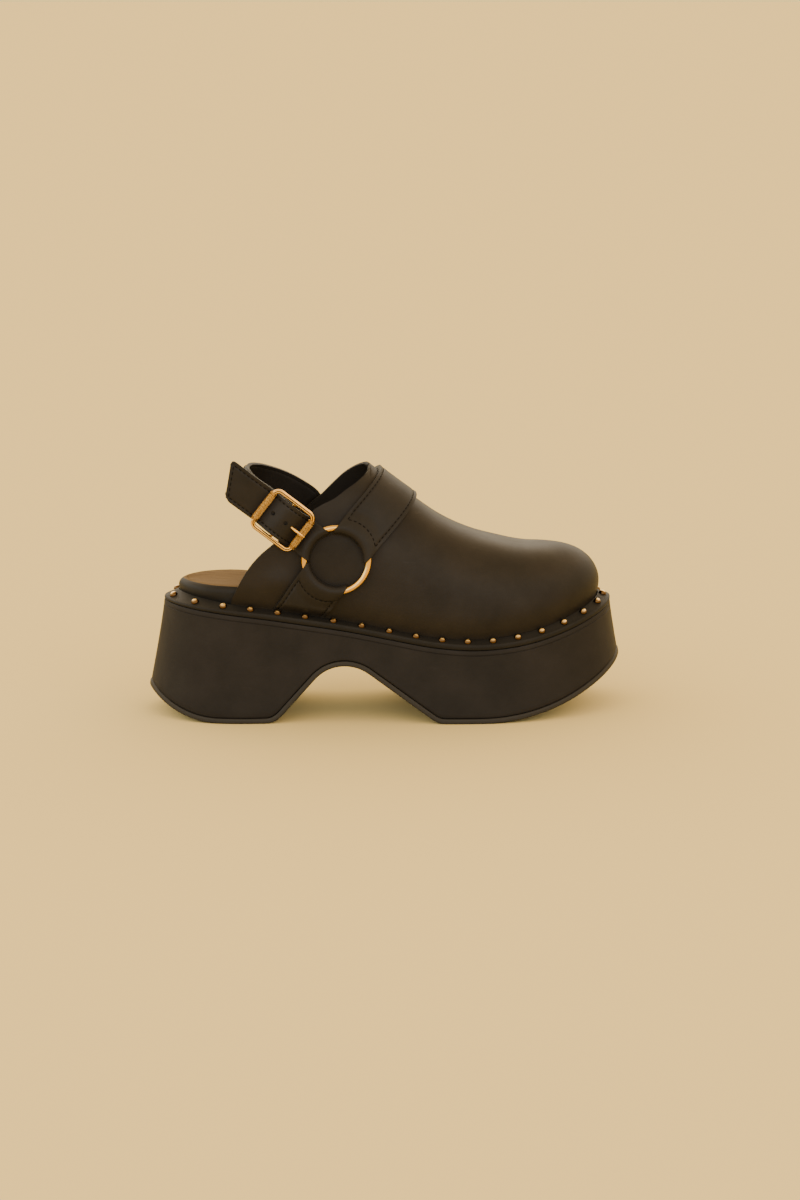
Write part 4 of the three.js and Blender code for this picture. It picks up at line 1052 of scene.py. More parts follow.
def across_lines(width, count=23):
    """Places across a strap, close together at its two edge seams."""
    half = width / 2
    seam = half - SEAM_INSET
    near = np.array(SEAM_LINES)
    even = np.linspace(-half, half, count)
    even = even[np.abs(np.abs(even) - seam) > SEAM_CLEAR]
    return np.sort(np.r_[even, seam + near, -seam + near])


def seam_dip(away):
    """The small valley that a line of stitches draws into the leather."""
    return SEAM_DEPTH * np.exp(-((away / SEAM_REACH) ** 2))


def edge_dips(across, width, away, start):
    """The valleys of a strap's two edge seams, from a distance from its fold."""
    return seam_dip(np.abs(across) - (width / 2 - SEAM_INSET)) * (away > start)


def in_side_view(place, angle, run, across):
    """Places in the side view, along a strap's way from its ring's middle and across it."""
    x = place[0] + math.cos(angle) * run - math.sin(angle) * across
    z = place[1] + math.sin(angle) * run + math.cos(angle) * across
    return x, z


def fold_line(side, angle, across):
    """Where a strap's lines meet the ring's wire: the wire, its outward spokes, the strap's way along the
    ring's plane, and the wire's distance from the ring's middle in the side view."""
    place, middle, forward, up, _ = RINGS[side]
    plane = np.array([forward[[0, 2]], up[[0, 2]]]).T
    lead = np.linalg.solve(plane, (math.cos(angle), math.sin(angle))) @ np.array([forward, up])
    lead /= np.linalg.norm(lead)
    turn = np.linspace(-math.pi, math.pi, WIRE_POINTS)
    spoke = np.outer(np.cos(turn), forward) + np.outer(np.sin(turn), up)
    wire = middle + RING_RADIUS * spoke
    off = wire[:, (0, 2)] - place
    run = off @ (math.cos(angle), math.sin(angle))
    width = off @ (-math.sin(angle), math.cos(angle))
    keep = run > 0
    order = np.argsort(width[keep])
    pick = [np.interp(across, width[keep][order], values[keep][order]) for values in (*wire.T, *spoke.T, run)]
    return np.column_stack(pick[:3]), np.column_stack(pick[3:6]), lead, pick[6]


def normals_of(rows):
    """Unit normals of a grid of points."""
    normal = np.cross(np.gradient(rows, axis=1), np.gradient(rows, axis=0))
    return normal / np.linalg.norm(normal, axis=2)[..., None]


def roll_rows(side, wire, spoke, lead):
    """The strap's outer face round the wire, from underneath to its top. Outside the ring its lines keep to
    the strap's way, and inside the ring they are drawn together."""
    out = RINGS[side][4]
    slanted = lead / np.clip(spoke @ lead, SLANT_LIMIT, 1)[:, None]
    rows = []
    for t in np.radians(np.linspace(ROLL_START, ROLL_END, ROLL_ROWS)):
        way = slanted if math.cos(t) > 0 else spoke + (slanted - spoke) * FOLD_SLANT
        rows.append(wire + ROLL_RADIUS * (math.cos(t) * way + math.sin(t) * out))
    return np.array(rows)


def lifted(side, wire, lead, away, flat, reach=FOLD_REACH):
    """Blends a strap's face from the top of the ring's wire down to where it lies flat."""
    start = wire + ROLL_RADIUS * RINGS[side][4] + lead * away[..., None] * FOLD_LEAVES
    share = between(0, reach, away)[..., None]
    return start * (1 - share) + flat * share


def faces_in(normal, outward):
    return normal[normal.shape[0] // 2, normal.shape[1] // 2] @ outward < 0


def strap_piece(cad_name, face, thickness, outward, start=(), end=()):
    """A strap with rounded edges, from the rows of its outer face, its thickness at each of their points, and
    the rows of its folds round a ring's wire."""
    start, end = (np.reshape(fold, (-1, *face.shape[1:])) for fold in (start, end))
    rows = np.concatenate([start, face, end])
    thin, thin_end = (np.full(fold.shape[:2], ROLL_THICKNESS) for fold in (start, end))
    thickness = np.concatenate([thin, thickness, thin_end])
    if faces_in(normals_of(rows), outward):
        rows, thickness = rows[:, ::-1], thickness[:, ::-1]
    made = sheet(cad_name + "_leather", rows)
    most = float(thickness.max())
    weights = made.vertex_groups.new(name="thickness")
    for index, value in enumerate(thickness.ravel()):
        weights.add([index], float(value / most), "REPLACE")
    modify(made, "SOLIDIFY", thickness=most * MM, offset=-1, use_even_offset=False, vertex_group="thickness")
    limit = math.radians(55)
    modify(made, "BEVEL", width=STRAP_EDGE * MM, segments=3, limit_method="ANGLE", angle_limit=limit)
    return made


def finish_strap(piece, cad_name):
    finish_surface(piece, strap_leather, angle=45)
    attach(piece, "root")
    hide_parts(cad_name)


def on_grid(grid, v, u):
    """Values of a grid at fractional row and column numbers."""
    i = np.clip(np.floor(v).astype(int), 0, grid.shape[0] - 2)
    j = np.clip(np.floor(u).astype(int), 0, grid.shape[1] - 2)
    a, b = (v - i)[:, None], (u - j)[:, None]
    low = grid[i, j] * (1 - b) + grid[i, j + 1] * b
    high = grid[i + 1, j] * (1 - b) + grid[i + 1, j + 1] * b
    return low * (1 - a) + high * a


def stitches(name, grid, paths, outward):
    """Stitches of waxed thread along paths given as row and column numbers of a strap's face."""
    size = (STITCH_LENGTH / 2, STITCH_THREAD / 2, STITCH_THREAD / 2)
    bpy.ops.mesh.primitive_uv_sphere_add(segments=8, ring_count=6, radius=1)
    pattern = bpy.context.object
    modify(pattern, "TRIANGULATE")
    shape = np.array([v.co for v in pattern.data.vertices]) * size
    faces = np.array([face.vertices[:] for face in pattern.data.polygons])
    bpy.data.objects.remove(pattern)
    normal = normals_of(grid)
    if faces_in(normal, outward):
        normal = -normal
    points, corners = [], []
    for v, u in paths:
        line = np.hstack([on_grid(grid, v, u), on_grid(normal, v, u)])
        length = np.linalg.norm(np.diff(line[:, :3], axis=0), axis=1).sum()
        count = max(2, round(length / STITCH_PITCH))
        shares = (np.arange(count) + 0.5) / count
        spots = walk(line, shares, flat=3)
        after, before = np.clip((shares + STITCH_NUDGE, shares - STITCH_NUDGE), 0, 1)
        ahead = walk(line, after, flat=3) - walk(line, before, flat=3)
        for spot, step in zip(spots, ahead):
            up = spot[3:] / np.linalg.norm(spot[3:])
            along = step[:3] - up * (step[:3] @ up)
            along /= np.linalg.norm(along)
            axes = np.array([along, np.cross(up, along), up])
            corners.append(faces + len(points) * len(shape))
            points.append(shape @ axes + spot[:3] + up * STITCH_LIFT)
    mesh = bpy.data.meshes.new(name)
    mesh.from_pydata(np.vstack(points) * MM, [], np.vstack(corners).tolist())
    made = bpy.data.objects.new(name, mesh)
    bpy.context.collection.objects.link(made)
    finish_surface(made, thread_with_painted_shade, angle=60)
    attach(made, "root")


def thread_finish():
    """Black waxed thread with a fine twist, painted darker than the leather as the shade of its stitch holes.
    """
    material, tree, shader = new_material("waxed thread")
    fibre = noise(tree, place_in(tree), 5000.0, 2.0)
    fill(
        shader,
        Base_Color=colour_ramp(tree, fibre, ((0, THREAD_DARK_WITH_PAINTED_SHADE), (1, THREAD_LIGHT_WITH_PAINTED_SHADE))),
        Roughness=0.7,
        Specular_IOR_Level=0.1,
    )
    return material


thread_with_painted_shade = thread_finish()
strap_leather = leather("strap leather", STRAP_DARK, STRAP_LIGHT, 0.56, 0.44, relief=0.04)


def rows_at(away, distance):
    """Row number at a distance from the fold, for each of a strap's lines."""
    return np.array([np.interp(distance, line, np.arange(len(line))) for line in away.T])


def sew(cad_name, face, across, width, first, last, outward, crosses):
    """Stitches both edges of a strap from its first to its last rows, and across where crosses says so."""
    seam = width / 2 - SEAM_INSET
    numbers = np.arange(len(across))
    left, right = (np.interp(place, across, numbers) for place in (-seam, seam))
    paths = []
    for edge in (left, right):
        start, end = (np.interp(edge, numbers, rows) for rows in (first, last))
        paths.append((np.linspace(start, end, EDGE_POINTS), np.full(EDGE_POINTS, edge)))
    columns = np.linspace(left, right, CROSS_POINTS)
    paths += [(np.interp(columns, numbers, rows), columns) for rows in crosses]
    stitches(cad_name + "_stitches", face, paths, outward)


def lower_strap(side):
    angle = math.radians(180 + LOWER_STRAP_FALL)
    across = across_lines(LOWER_STRAP_WIDTH)
    wire, spoke, lead, start = fold_line(side, angle, across)
    place = RINGS[side][0]
    tries = np.arange(0, LOWER_STRAP_REACH, 0.1)[:, None]
    x, z = in_side_view(place, angle, start + tries, across)
    above = z > platform_top(x) + strip_clear(x) + 0.1
    end = tries[np.argmin(above, axis=0), 0]
    away = np.linspace(0, 1, LOWER_STRAP_ROWS)[:, None] * end
    x, z = in_side_view(place, angle, start + away, across)
    base = np.stack([x, side_at(x, z, side), z], -1)
    normal = normals_of(base)
    normal *= side * np.sign(normal[..., 1:2])
    pressed = between(0, PRESSED_REACH, end - away)
    seams = seam_dip(away - LOWER_SEAM) + edge_dips(across, LOWER_STRAP_WIDTH, away, LOWER_SEAM)
    height = (GAP + HARNESS_THICKNESS) * pressed + STRAP_LIFT * (1 - pressed) - seams
    face = lifted(side, wire, lead, away, base + normal * height[..., None])
    thick = ROLL_THICKNESS + (HARNESS_THICKNESS - ROLL_THICKNESS) * between(0, THIN_REACH, away) * pressed
    outward = np.array([0, side, 0])
    fold = roll_rows(side, wire, spoke, lead)
    finish_strap(strap_piece(LOWER_NODE[side], face, thick, outward, start=fold), LOWER_NODE[side])
    first = rows_at(away, LOWER_SEAM)
    last = np.full(len(across), len(away) - 4.0)
    sew(LOWER_NODE[side], face, across, LOWER_STRAP_WIDTH, first, last, outward, [first])


for side in SIDES:
    lower_strap(side)


# Instep strap
# One doubled strap of the same hide over the instep from ring to ring. It is folded round both rings, and
# stitched along its edges and across beside each fold.
INSTEP_STRAP_WIDTH = 26
INSTEP_STRAP_RISE = 46.5
INSTEP_ROWS = 110
SEARCH_STEPS = 40
INSTEP_SEAM = 6.3


def thinned(away, thickness, reach=THIN_REACH):
    """A strap's thickness, which is less where it is folded."""
    return ROLL_THICKNESS + (thickness - ROLL_THICKNESS) * between(0, reach, away)


def instep_strap():
    angle = math.radians(INSTEP_STRAP_RISE)
    ahead = np.array([math.cos(angle), math.sin(angle)])
    across = across_lines(INSTEP_STRAP_WIDTH)
    home = RINGS[LATERAL][0]
    folds = {side: fold_line(side, angle, across) for side in SIDES}
    shift = {side: (RINGS[side][0] - home) @ ahead for side in SIDES}
    top = np.full(len(across), 50.0)
    for _ in range(SEARCH_STEPS):
        x, z = in_side_view(home, angle, top, across)
        top += (crown_height(x) - z) * 0.7
    bases, ways = [], []
    sweep = 1 - (1 - np.linspace(0, 1, INSTEP_ROWS)[:, None]) ** INSTEP_ROUNDNESS
    for side in SIDES:
        start = shift[side] + folds[side][3]
        run = start + (top - start) * sweep
        x, z = in_side_view(home, angle, run, across)
        y = side_at(x, z, side)
        y[-1] = middle_at(x[-1])
        z[-1] = crown_height(x[-1])
        base = np.stack([x, y, z], -1)
        away = run - start
        bases.append(base if side == LATERAL else base[::-1][1:])
        ways.append(away if side == LATERAL else away[::-1][1:])
    base = np.concatenate(bases)
    count = len(ways[0])
    normal = normals_of(base)
    normal *= np.sign(normal[count, len(across) // 2, 2])
    faces = []
    halves = ((base[:count], normal[:count]), (base[count:], normal[count:]))
    for side, (rows, ups), away in zip(SIDES, halves, ways):
        dips = seam_dip(away - INSTEP_SEAM) + edge_dips(across, INSTEP_STRAP_WIDTH, away, INSTEP_SEAM)
        flat = rows + ups * (GAP + HARNESS_THICKNESS - dips)[..., None]
        wire, _, lead, _ = folds[side]
        faces.append(lifted(side, wire, lead, away, flat))
    face = np.concatenate(faces)
    fold, far_fold = (roll_rows(side, *folds[side][:3]) for side in SIDES)
    thick = thinned(np.concatenate(ways), HARNESS_THICKNESS)
    outward = np.array([0.3, 0, 1])
    finish_strap(strap_piece("instep_strap", face, thick, outward, fold, far_fold[::-1]), "instep_strap")
    first = rows_at(ways[0], INSTEP_SEAM)
    last = len(face) - 1 - rows_at(ways[1][::-1], INSTEP_SEAM)
    sew("instep_strap", face, across, INSTEP_STRAP_WIDTH, first, last, outward, [first, last])


instep_strap()


# Slingback
# One strap round the back of the heel, from its fold round the inner ring to the buckle's middle bar. It is
# lined, edge-stitched, and leans with the harness.
SLING_WIDTH = 20.5
SLING_THICKNESS = 2
SLING_TILT = math.radians(38)
BUCKLE_FROM_RING = 38.5
LOOP_DEPTH = 29
SLING_ROWS = 220
SLING_SEAM = 8
SLING_SEAM_START = 7
THIN_SEAM = 0.7
SLING_REACH = 9
FOLD_ANGLE = math.pi - SLING_TILT
LOOP_AHEAD = np.array([math.cos(SLING_TILT), 0, -math.sin(SLING_TILT)])
LOOP_UP = np.array([math.sin(SLING_TILT), 0, math.cos(SLING_TILT)])
LOOP_SIDE = np.array([0, 1, 0])
outer_place = RINGS[LATERAL][0]
LOOP_ORIGIN = np.array([outer_place[0], 0, outer_place[1]]) - LOOP_AHEAD * BUCKLE_FROM_RING

# Middle line from above: back from the buckle's bar as a share of the depth, out as a share of the distance
# to the ring's wire, and the lift in millimetres
LOOP = (
    (0.03, -1.015, 0), (0.2, -0.96, 0), (0.46, -0.912, 0), (0.68, -0.86, -0.5), (0.89, -0.75, -1.1),
    (1.07, -0.5, -1.4), (1.13, -0.2, -1.1), (1.07, 0.08, 0.1), (0.9, 0.38, 2), (0.63, 0.62, 4.3),
    (0.29, 0.8, 6.6), (-0.1, 0.92, 8), (-0.44, 0.99, 8.2), (-0.64, 1, 7), (-0.8, 1, 5.2),
)


def in_loop(ahead, side, up):
    """A place given in the slingback's tilted frame."""
    ahead, side, up = np.broadcast_arrays(ahead, side, up)
    return LOOP_ORIGIN + ahead[..., None] * LOOP_AHEAD + side[..., None] * LOOP_SIDE + up[..., None] * LOOP_UP


def wire_out(side):
    """Distance from the shoe's middle plane out to the ring's wire, where the loop's strap folds round it."""
    _, middle, forward, up, _ = RINGS[side]
    spoke = -np.array([LOOP_AHEAD @ forward, LOOP_AHEAD @ up])
    spoke *= RING_RADIUS / np.linalg.norm(spoke)
    return abs((middle + spoke[0] * forward + spoke[1] * up)[1])


OUT = {side: wire_out(side) for side in SIDES}


def slingback():
    across = across_lines(SLING_WIDTH, 17)
    reach = {out: out * OUT[MEDIAL if out > 0 else LATERAL] for _, out, _ in LOOP}
    line = through([(-back * LOOP_DEPTH, reach[out], lift) for back, out, lift in LOOP])
    run = np.r_[0, np.cumsum(np.linalg.norm(np.diff(line, axis=0), axis=1))]
    wire, spoke, lead, _ = fold_line(MEDIAL, FOLD_ANGLE, across)
    near_end = line[:, 1] > 0.8 * OUT[MEDIAL]
    ends = np.interp((wire - LOOP_ORIGIN) @ LOOP_AHEAD, line[near_end, 0], run[near_end])
    place = np.linspace(0, 1, SLING_ROWS)[:, None] * ends
    away = ends - place
    ahead, side, lift = (np.interp(place, run, values) for values in line.T)
    after, before = place + 0.4, place - 0.4
    turn = [np.interp(after, run, values) - np.interp(before, run, values) for values in line.T[:2]]
    length = np.hypot(*turn)
    up = (wire - LOOP_ORIGIN) @ LOOP_UP
    height = across * np.sign(up[-1] - up[0])
    half = SLING_THICKNESS / 2 - edge_dips(across, SLING_WIDTH, away, SLING_SEAM_START) * THIN_SEAM
    flat = in_loop(ahead + turn[1] / length * half, side - turn[0] / length * half, lift + height)
    face = lifted(MEDIAL, wire, lead, away, flat, reach=SLING_REACH)
    fold = roll_rows(MEDIAL, wire, spoke, lead)[::-1]
    thick = thinned(away, SLING_THICKNESS)
    outward = np.array([-1, 0, 0])
    finish_strap(strap_piece("slingback", face, thick, outward, end=fold), "slingback")
    first = np.full(len(across), 2.0)
    last = len(away) - 1 - rows_at(away[::-1], SLING_SEAM)
    sew("slingback", face, across, SLING_WIDTH, first, last, outward, [last])


slingback()


# Buckle strap
# From its fold round the outer ring the strap goes under the buckle's front bar, over the middle bar and the
# prong's foot, and under the rear bar to a slanted tip with rounded corners. Its two holes stop short of its
# inner face.
BUCKLE_STRAP_LINE = (
    (-46, 1), (-30, 0.8), (-20, -0.2), (-13.5, -0.8), (-9.5, 0.6), (-5.5, 3), (-2, 4.4), (2, 4.4),
    (5.5, 3.5), (9.5, 0.6), (13.5, -0.9), (22, -0.9),
)
BUCKLE_STRAP_THICKNESS = 1.8
TIP_TOP = 44
TIP_BOTTOM = 33
TIP_CORNER = 3.2
TIP_SEAM_ROWS = SEAM_INSET / 0.38
BUCKLE_STRAP_ROWS = 170
BUCKLE_SEAM = 7.5
BUCKLE_REACH = 7
BUCKLE_THIN_REACH = 5
HOLE_RADIUS = 1.2
HOLE_SPACING = 8.8
HOLE_DEPTH = 1.3
PUNCH_LENGTH = 4
FIRST_HOLE = 1.9


def outer_side(out):
    """The outer side's place across, a distance out from the ring's wire."""
    return -(OUT[LATERAL] + out)


def buckle_strap():
    half = SLING_WIDTH / 2
    across = across_lines(SLING_WIDTH, 25)
    across = np.sort(np.r_[across, half - 0.25, 0.25 - half])
    wire, spoke, lead, _ = fold_line(LATERAL, FOLD_ANGLE, across)
    height = (wire - LOOP_ORIGIN) @ LOOP_UP
    wire_ahead = (wire - LOOP_ORIGIN) @ LOOP_AHEAD
    edge = np.clip(1 - (half - np.abs(height)) / TIP_CORNER, 0, 1)
    slant = TIP_BOTTOM + (TIP_TOP - TIP_BOTTOM) * (height + half) / (2 * half)
    tip = -slant + TIP_CORNER * (1 - np.sqrt(1 - edge**2))
    ahead = wire_ahead + (tip - wire_ahead) * np.linspace(0, 1, BUCKLE_STRAP_ROWS)[:, None]
    away = wire_ahead - ahead
    out = column(BUCKLE_STRAP_LINE, ahead)
    slope = column(BUCKLE_STRAP_LINE, ahead + 0.5) - column(BUCKLE_STRAP_LINE, ahead - 0.5)
    lean = 1 / np.hypot(1, slope)
    lift = BUCKLE_STRAP_THICKNESS / 2 - edge_dips(across, SLING_WIDTH, away, SLING_SEAM_START) * THIN_SEAM
    flat = in_loop(ahead - slope * lean * lift, outer_side(out + lean * lift), height)
    face = lifted(LATERAL, wire, lead, away, flat, reach=BUCKLE_REACH)
    fold = roll_rows(LATERAL, wire, spoke, lead)
    thick = thinned(away, BUCKLE_STRAP_THICKNESS, reach=BUCKLE_THIN_REACH)
    outward = np.array([0, -1, 0])
    piece = strap_piece("buckle_strap", face, thick, outward, start=fold)
    for hole_ahead in (FIRST_HOLE, FIRST_HOLE - HOLE_SPACING):
        bpy.ops.mesh.primitive_cylinder_add(vertices=32, radius=HOLE_RADIUS * MM, depth=PUNCH_LENGTH * MM)
        punch = bpy.context.object
        mouth = column(BUCKLE_STRAP_LINE, hole_ahead) + BUCKLE_STRAP_THICKNESS / 2
        spot = in_loop(hole_ahead, outer_side(mouth + PUNCH_LENGTH / 2 - HOLE_DEPTH), 0)
        placed(punch.data, (LOOP_AHEAD, LOOP_UP, -LOOP_SIDE), spot)
        modify(piece, "BOOLEAN", object=punch, operation="DIFFERENCE", solver="EXACT")
        bpy.data.objects.remove(punch)
    finish_strap(piece, "buckle_strap")
    first = rows_at(away, BUCKLE_SEAM)
    last = np.full(len(across), len(away) - 1 - TIP_SEAM_ROWS)
    sew("buckle_strap", face, across, SLING_WIDTH, first, last, outward, [first, last])


buckle_strap()


# Buckle
# A cast brass frame with rounded corners and a middle bar. The side wires carry a fine engraved line, a
# knurled sleeve turns on each end bar, and the prong lies on the front one.
BUCKLE_LENGTH = 31
BUCKLE_WIDTH = 27.5
BUCKLE_WIRE = 2.6
BUCKLE_CORNER = 3.6
SLEEVE_LENGTH = 19.5
SLEEVE_RADIUS = 2.1
SLEEVE_WALL = 0.5
TEETH_AROUND = 6
TEETH_ALONG = 16
FRAME_OUT = 2.6
MIDDLE_BAR_OUT = 1
MIDDLE_BAR_RADIUS = 1.1
GROOVE_DEPTH = 0.34
GROOVE_REACH = 0.22
GROOVE_DARK = (0.16, 0.085, 0.03)
KNURL_DARK = (0.22, 0.12, 0.04)
PRONG_WIRE = 1.8
BAR_PLACE = (BUCKLE_LENGTH - BUCKLE_WIRE) / 2 - (SLEEVE_RADIUS - BUCKLE_WIRE / 2)


def tube(name, line, radius, closed=False, sides=24, groove=0.0):
    """Round wire along a line in the loop's frame, with an engraved line on its outer face.
    radius is one number or one for each point."""
    line = np.array(line, float)
    if closed:
        ahead = np.roll(line, -1, axis=0) - np.roll(line, 1, axis=0)
    else:
        ahead = np.gradient(line, axis=0)
    ahead /= np.linalg.norm(ahead, axis=1)[:, None]
    outer = np.array([0.0, -1.0, 0.0])
    first = outer - ahead * (ahead @ outer)[:, None]
    first /= np.linalg.norm(first, axis=1)[:, None]
    second = np.cross(ahead, first)
    radius = np.broadcast_to(radius, len(line))
    rings = []
    for turn in np.linspace(0, 2 * math.pi, sides, endpoint=False):
        away = min(turn, 2 * math.pi - turn)
        reach = radius * (1 - groove * math.exp(-((away / GROOVE_REACH) ** 2)))
        rings.append(line + (math.cos(turn) * first + math.sin(turn) * second) * reach[:, None])
    rows = np.array(rings).transpose(1, 0, 2)
    if closed:
        rows = np.concatenate([rows, rows[:1]])
    else:
        rows = np.concatenate([rows[:1] * 0 + line[0], rows, rows[-1:] * 0 + line[-1]])
    return sheet(name, in_loop(rows[..., 0], rows[..., 1], rows[..., 2]), closed=True, whole=True)


def joined(piece, other):
    """Joins another mesh into a piece."""
    bpy.ops.object.select_all(action="DESELECT")
    other.select_set(True)
    piece.select_set(True)
    bpy.context.view_layer.objects.active = piece
    bpy.ops.object.join()


def grooved_brass():
    """Brass that is darker in the line engraved along it, where its UV map starts and ends."""
    material, tree, shader = brass("grooved brass", BRASS_COLOUR, 0.17, 6.0)
    around = uv_in(tree)["X"]
    away = math_node(tree, "MINIMUM", around, math_node(tree, "SUBTRACT", 1.0, around))
    darkened(tree, shader, ranged(tree, away, 0.05, 0.03), GROOVE_DARK)
    return material


half_width = (BUCKLE_WIDTH - BUCKLE_WIRE) / 2
corners = [(ahead * BAR_PLACE, up * half_width) for ahead, up in ((1, -1), (1, 1), (-1, 1), (-1, -1))]
outline = []
for k, corner in enumerate(corners):
    turn = rounded_corner(corners[k - 1], corner, corners[(k + 1) % 4], BUCKLE_CORNER, 12)
    following = rounded_corner(corner, corners[(k + 1) % 4], corners[(k + 2) % 4], BUCKLE_CORNER, 12)
    straight = turn[-1] + (following[0] - turn[-1]) * np.linspace(0, 1, 14)[1:-1, None]
    outline += [*turn, *straight]
frame_line = [(ahead, outer_side(FRAME_OUT), up) for ahead, up in outline]
buckle = tube("buckle_frame_wire", frame_line, BUCKLE_WIRE / 2, closed=True, sides=40, groove=GROOVE_DEPTH)
bar_line = [(0, outer_side(MIDDLE_BAR_OUT), up) for up in np.linspace(-half_width, half_width, 12)]
bar = tube("middle_bar", bar_line, MIDDLE_BAR_RADIUS)
joined(buckle, bar)
finish_surface(buckle, grooved_brass(), angle=60)
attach(buckle, "root")
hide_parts("buckle_frame")


def knurled_brass():
    """Brass rolled between crossed teeth, which follows the sleeve's own UV map."""
    material, tree, shader = brass("knurled brass", BRASS_COLOUR, 0.24, 4.0)
    split = uv_in(tree)
    teeth = []
    for lean in (1, -1):
        around = math_node(tree, "MULTIPLY", split["X"], TEETH_AROUND)
        along = math_node(tree, "MULTIPLY", split["Y"], TEETH_ALONG * lean)
        turn = math_node(tree, "MULTIPLY", math_node(tree, "ADD", around, along), 2 * math.pi)
        teeth.append(math_node(tree, "ABSOLUTE", math_node(tree, "SINE", turn)))
    height = math_node(tree, "MINIMUM", *teeth)
    fill(shader, Normal=node(tree, "Bump", Strength=1.0, Distance=0.35 * MM, Height=height))
    darkened(tree, shader, ranged(tree, height, 0.4, 0.1), KNURL_DARK)
    return material


# Knurled sleeve from end to end: along as a share of its length, and its radius as a share of the full one
SLEEVE_END = ((0.5, 0.9), (0.485, 0.97), (0.46, 1), (0.43, 0.94))
half_sleeve = [(-along, radius) for along, radius in SLEEVE_END]
sleeve_line = [*half_sleeve, *((along, 1) for along in np.linspace(-0.4, 0.4, 9)), *SLEEVE_END[::-1]]
sleeve_brass = knurled_brass()
for cad_name, place in (("front_sleeve", BAR_PLACE), ("rear_sleeve", -BAR_PLACE)):
    turn = np.linspace(0, 2 * math.pi, 48, endpoint=False)
    line = [(along * SLEEVE_LENGTH, share * SLEEVE_RADIUS) for along, share in sleeve_line]
    line += [(along * SLEEVE_LENGTH, SLEEVE_RADIUS - SLEEVE_WALL) for along in (0.5, -0.5)] + line[:1]
    rows = [
        in_loop(place + radius * np.cos(turn), outer_side(FRAME_OUT) + radius * np.sin(turn), up)
        for up, radius in line
    ]
    sleeve = sheet(cad_name + "_knurled", rows, closed=True, whole=True)
    finish_surface(sleeve, sleeve_brass, angle=50)
    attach(sleeve, "root")
    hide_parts(cad_name)

turn = np.radians(np.linspace(20, 340, 24))
eye = MIDDLE_BAR_RADIUS + PRONG_WIRE / 2 + 0.1
eye_line = [(eye * math.cos(t), outer_side(MIDDLE_BAR_OUT) + eye * math.sin(t), 0) for t in turn[::-1]]
tip_out = FRAME_OUT + SLEEVE_RADIUS + GAP + PRONG_WIRE / 2
shank_line = [
    (2.4, outer_side(MIDDLE_BAR_OUT + 1.3), 0),
    (5.5, outer_side(MIDDLE_BAR_OUT + 2.1), 0),
    (8.5, outer_side(MIDDLE_BAR_OUT + 3.9), 0),
    (BAR_PLACE - 1.5, outer_side(tip_out - 0.2), 0),
    (BAR_PLACE, outer_side(tip_out), 0),
    (BAR_PLACE + 1.6, outer_side(tip_out - 0.5), 0),
]
prong_path = through(shank_line, steps=10)
taper = PRONG_WIRE / 2 * (1 - 0.35 * between(8, BAR_PLACE + 1.6, prong_path[:, 0]))
prong = tube("buckle_prong_wire", prong_path, taper, sides=20)
eye_ring = tube("prong_eye", eye_line, PRONG_WIRE / 2, sides=20)
joined(prong, eye_ring)
finish_surface(prong, harness_brass, angle=60)
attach(prong, "root")
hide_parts("buckle_prong")


# Studio
# A wide paper floor in warm beige under a soft sky, which is the only light. A third of the way up the sky a
# brighter band goes round: cool in front and over the heel, and warm behind the shoe and higher past the toe.
FLOOR_COLOUR = (0.725, 0.58, 0.265, 1)
floor_profile = (0.001, 0.3, 1, 4, 40, 300)
turn = np.linspace(0, 2 * math.pi, 96, endpoint=False)
floor_rows = [np.column_stack([r * np.cos(turn), r * np.sin(turn), 0 * turn]) / MM for r in floor_profile]
floor = sheet("studio_floor", floor_rows, closed=True)
paper, _, paper_shader = new_material("studio paper")
fill(paper_shader, Base_Color=FLOOR_COLOUR, Roughness=1.0, Specular_IOR_Level=0.0)
finish_surface(floor, paper)

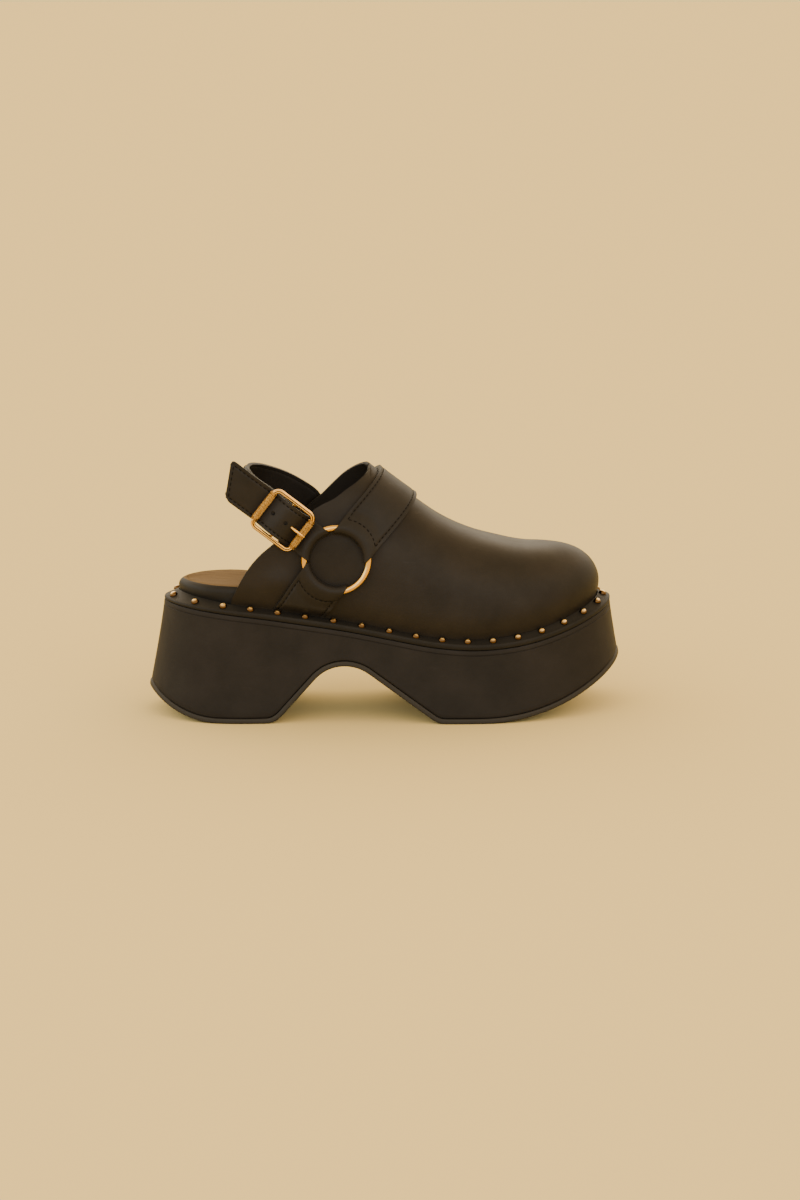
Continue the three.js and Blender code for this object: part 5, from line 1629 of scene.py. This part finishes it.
# Colours of the sky by its height above the horizon, as the sine of the angle
HORIZON = (0.1, (1.4, 1.02, 0.345))
ZENITH = (0.9, (1.36, 1.02, 0.56))
LEFT_SKY = (HORIZON, (0.19, (2.4, 2.6, 2.7)), (0.37, (3.7, 3.9, 3.7)), (0.65, (1.8, 1.65, 1.15)), ZENITH)
RIGHT_SKY = (HORIZON, (0.19, (1.4, 1.2, 0.9)), (0.37, (2.0, 1.7, 1.2)), (0.65, (3.7, 2.4, 1.1)), ZENITH)
FRONT_SKY = (HORIZON, (0.19, (1.8, 2.2, 2.9)), (0.37, (3.5, 3.9, 4.0)), (0.65, (1.25, 0.98, 0.55)), ZENITH)
BACK_SKY = (HORIZON, (0.19, (2.1, 1.8, 1.35)), (0.37, (5.9, 5.2, 4.2)), (0.65, (2.2, 1.65, 0.85)), ZENITH)
world = bpy.data.worlds.new("studio air")
world.use_nodes = True
sky = world.node_tree
sky_way = node(sky, "SeparateXYZ", Vector=node(sky, "TexCoord").outputs["Generated"]).outputs


def sky_ramp(rows):
    return colour_ramp(sky, sky_way["Z"], [(height, (*colour, 1)) for height, colour in rows])


def sky_towards(under, over, axis, sign):
    """Lays one ramp of sky over another towards one side."""
    facing = math_node(sky, "MAXIMUM", math_node(sky, "MULTIPLY", sky_way[axis], sign), 0.0)
    return mixed(sky, math_node(sky, "MULTIPLY", facing, facing), under, over)


around = sky_towards(sky_ramp(RIGHT_SKY), sky_ramp(LEFT_SKY), "X", -1.0)
around = sky_towards(around, sky_ramp(FRONT_SKY), "Y", -1.0)
around = sky_towards(around, sky_ramp(BACK_SKY), "Y", 1.0)
fill(sky.nodes["Background"], Color=around, Strength=1.0)
bpy.context.scene.world = world

CAMERA_AZIMUTH = math.radians(-4)
CAMERA_ELEVATION = math.radians(12)
CAMERA_DISTANCE = 1.65
CAMERA_TARGET = Vector((0.09607, 0, 0.0621))
camera_data = bpy.data.cameras.new("camera")
camera_data.lens = 85
camera_data.sensor_fit = "VERTICAL"
camera_data.sensor_height = 36
camera = bpy.data.objects.new("camera", camera_data)
flat = math.cos(CAMERA_ELEVATION)
sideways, backwards = math.sin(CAMERA_AZIMUTH) * flat, math.cos(CAMERA_AZIMUTH) * flat
direction = Vector((sideways, -backwards, math.sin(CAMERA_ELEVATION)))
camera.location = CAMERA_TARGET + direction * CAMERA_DISTANCE
camera.rotation_euler = (-direction).to_track_quat("-Z", "Y").to_euler()
bpy.context.collection.objects.link(camera)
bpy.context.scene.camera = camera
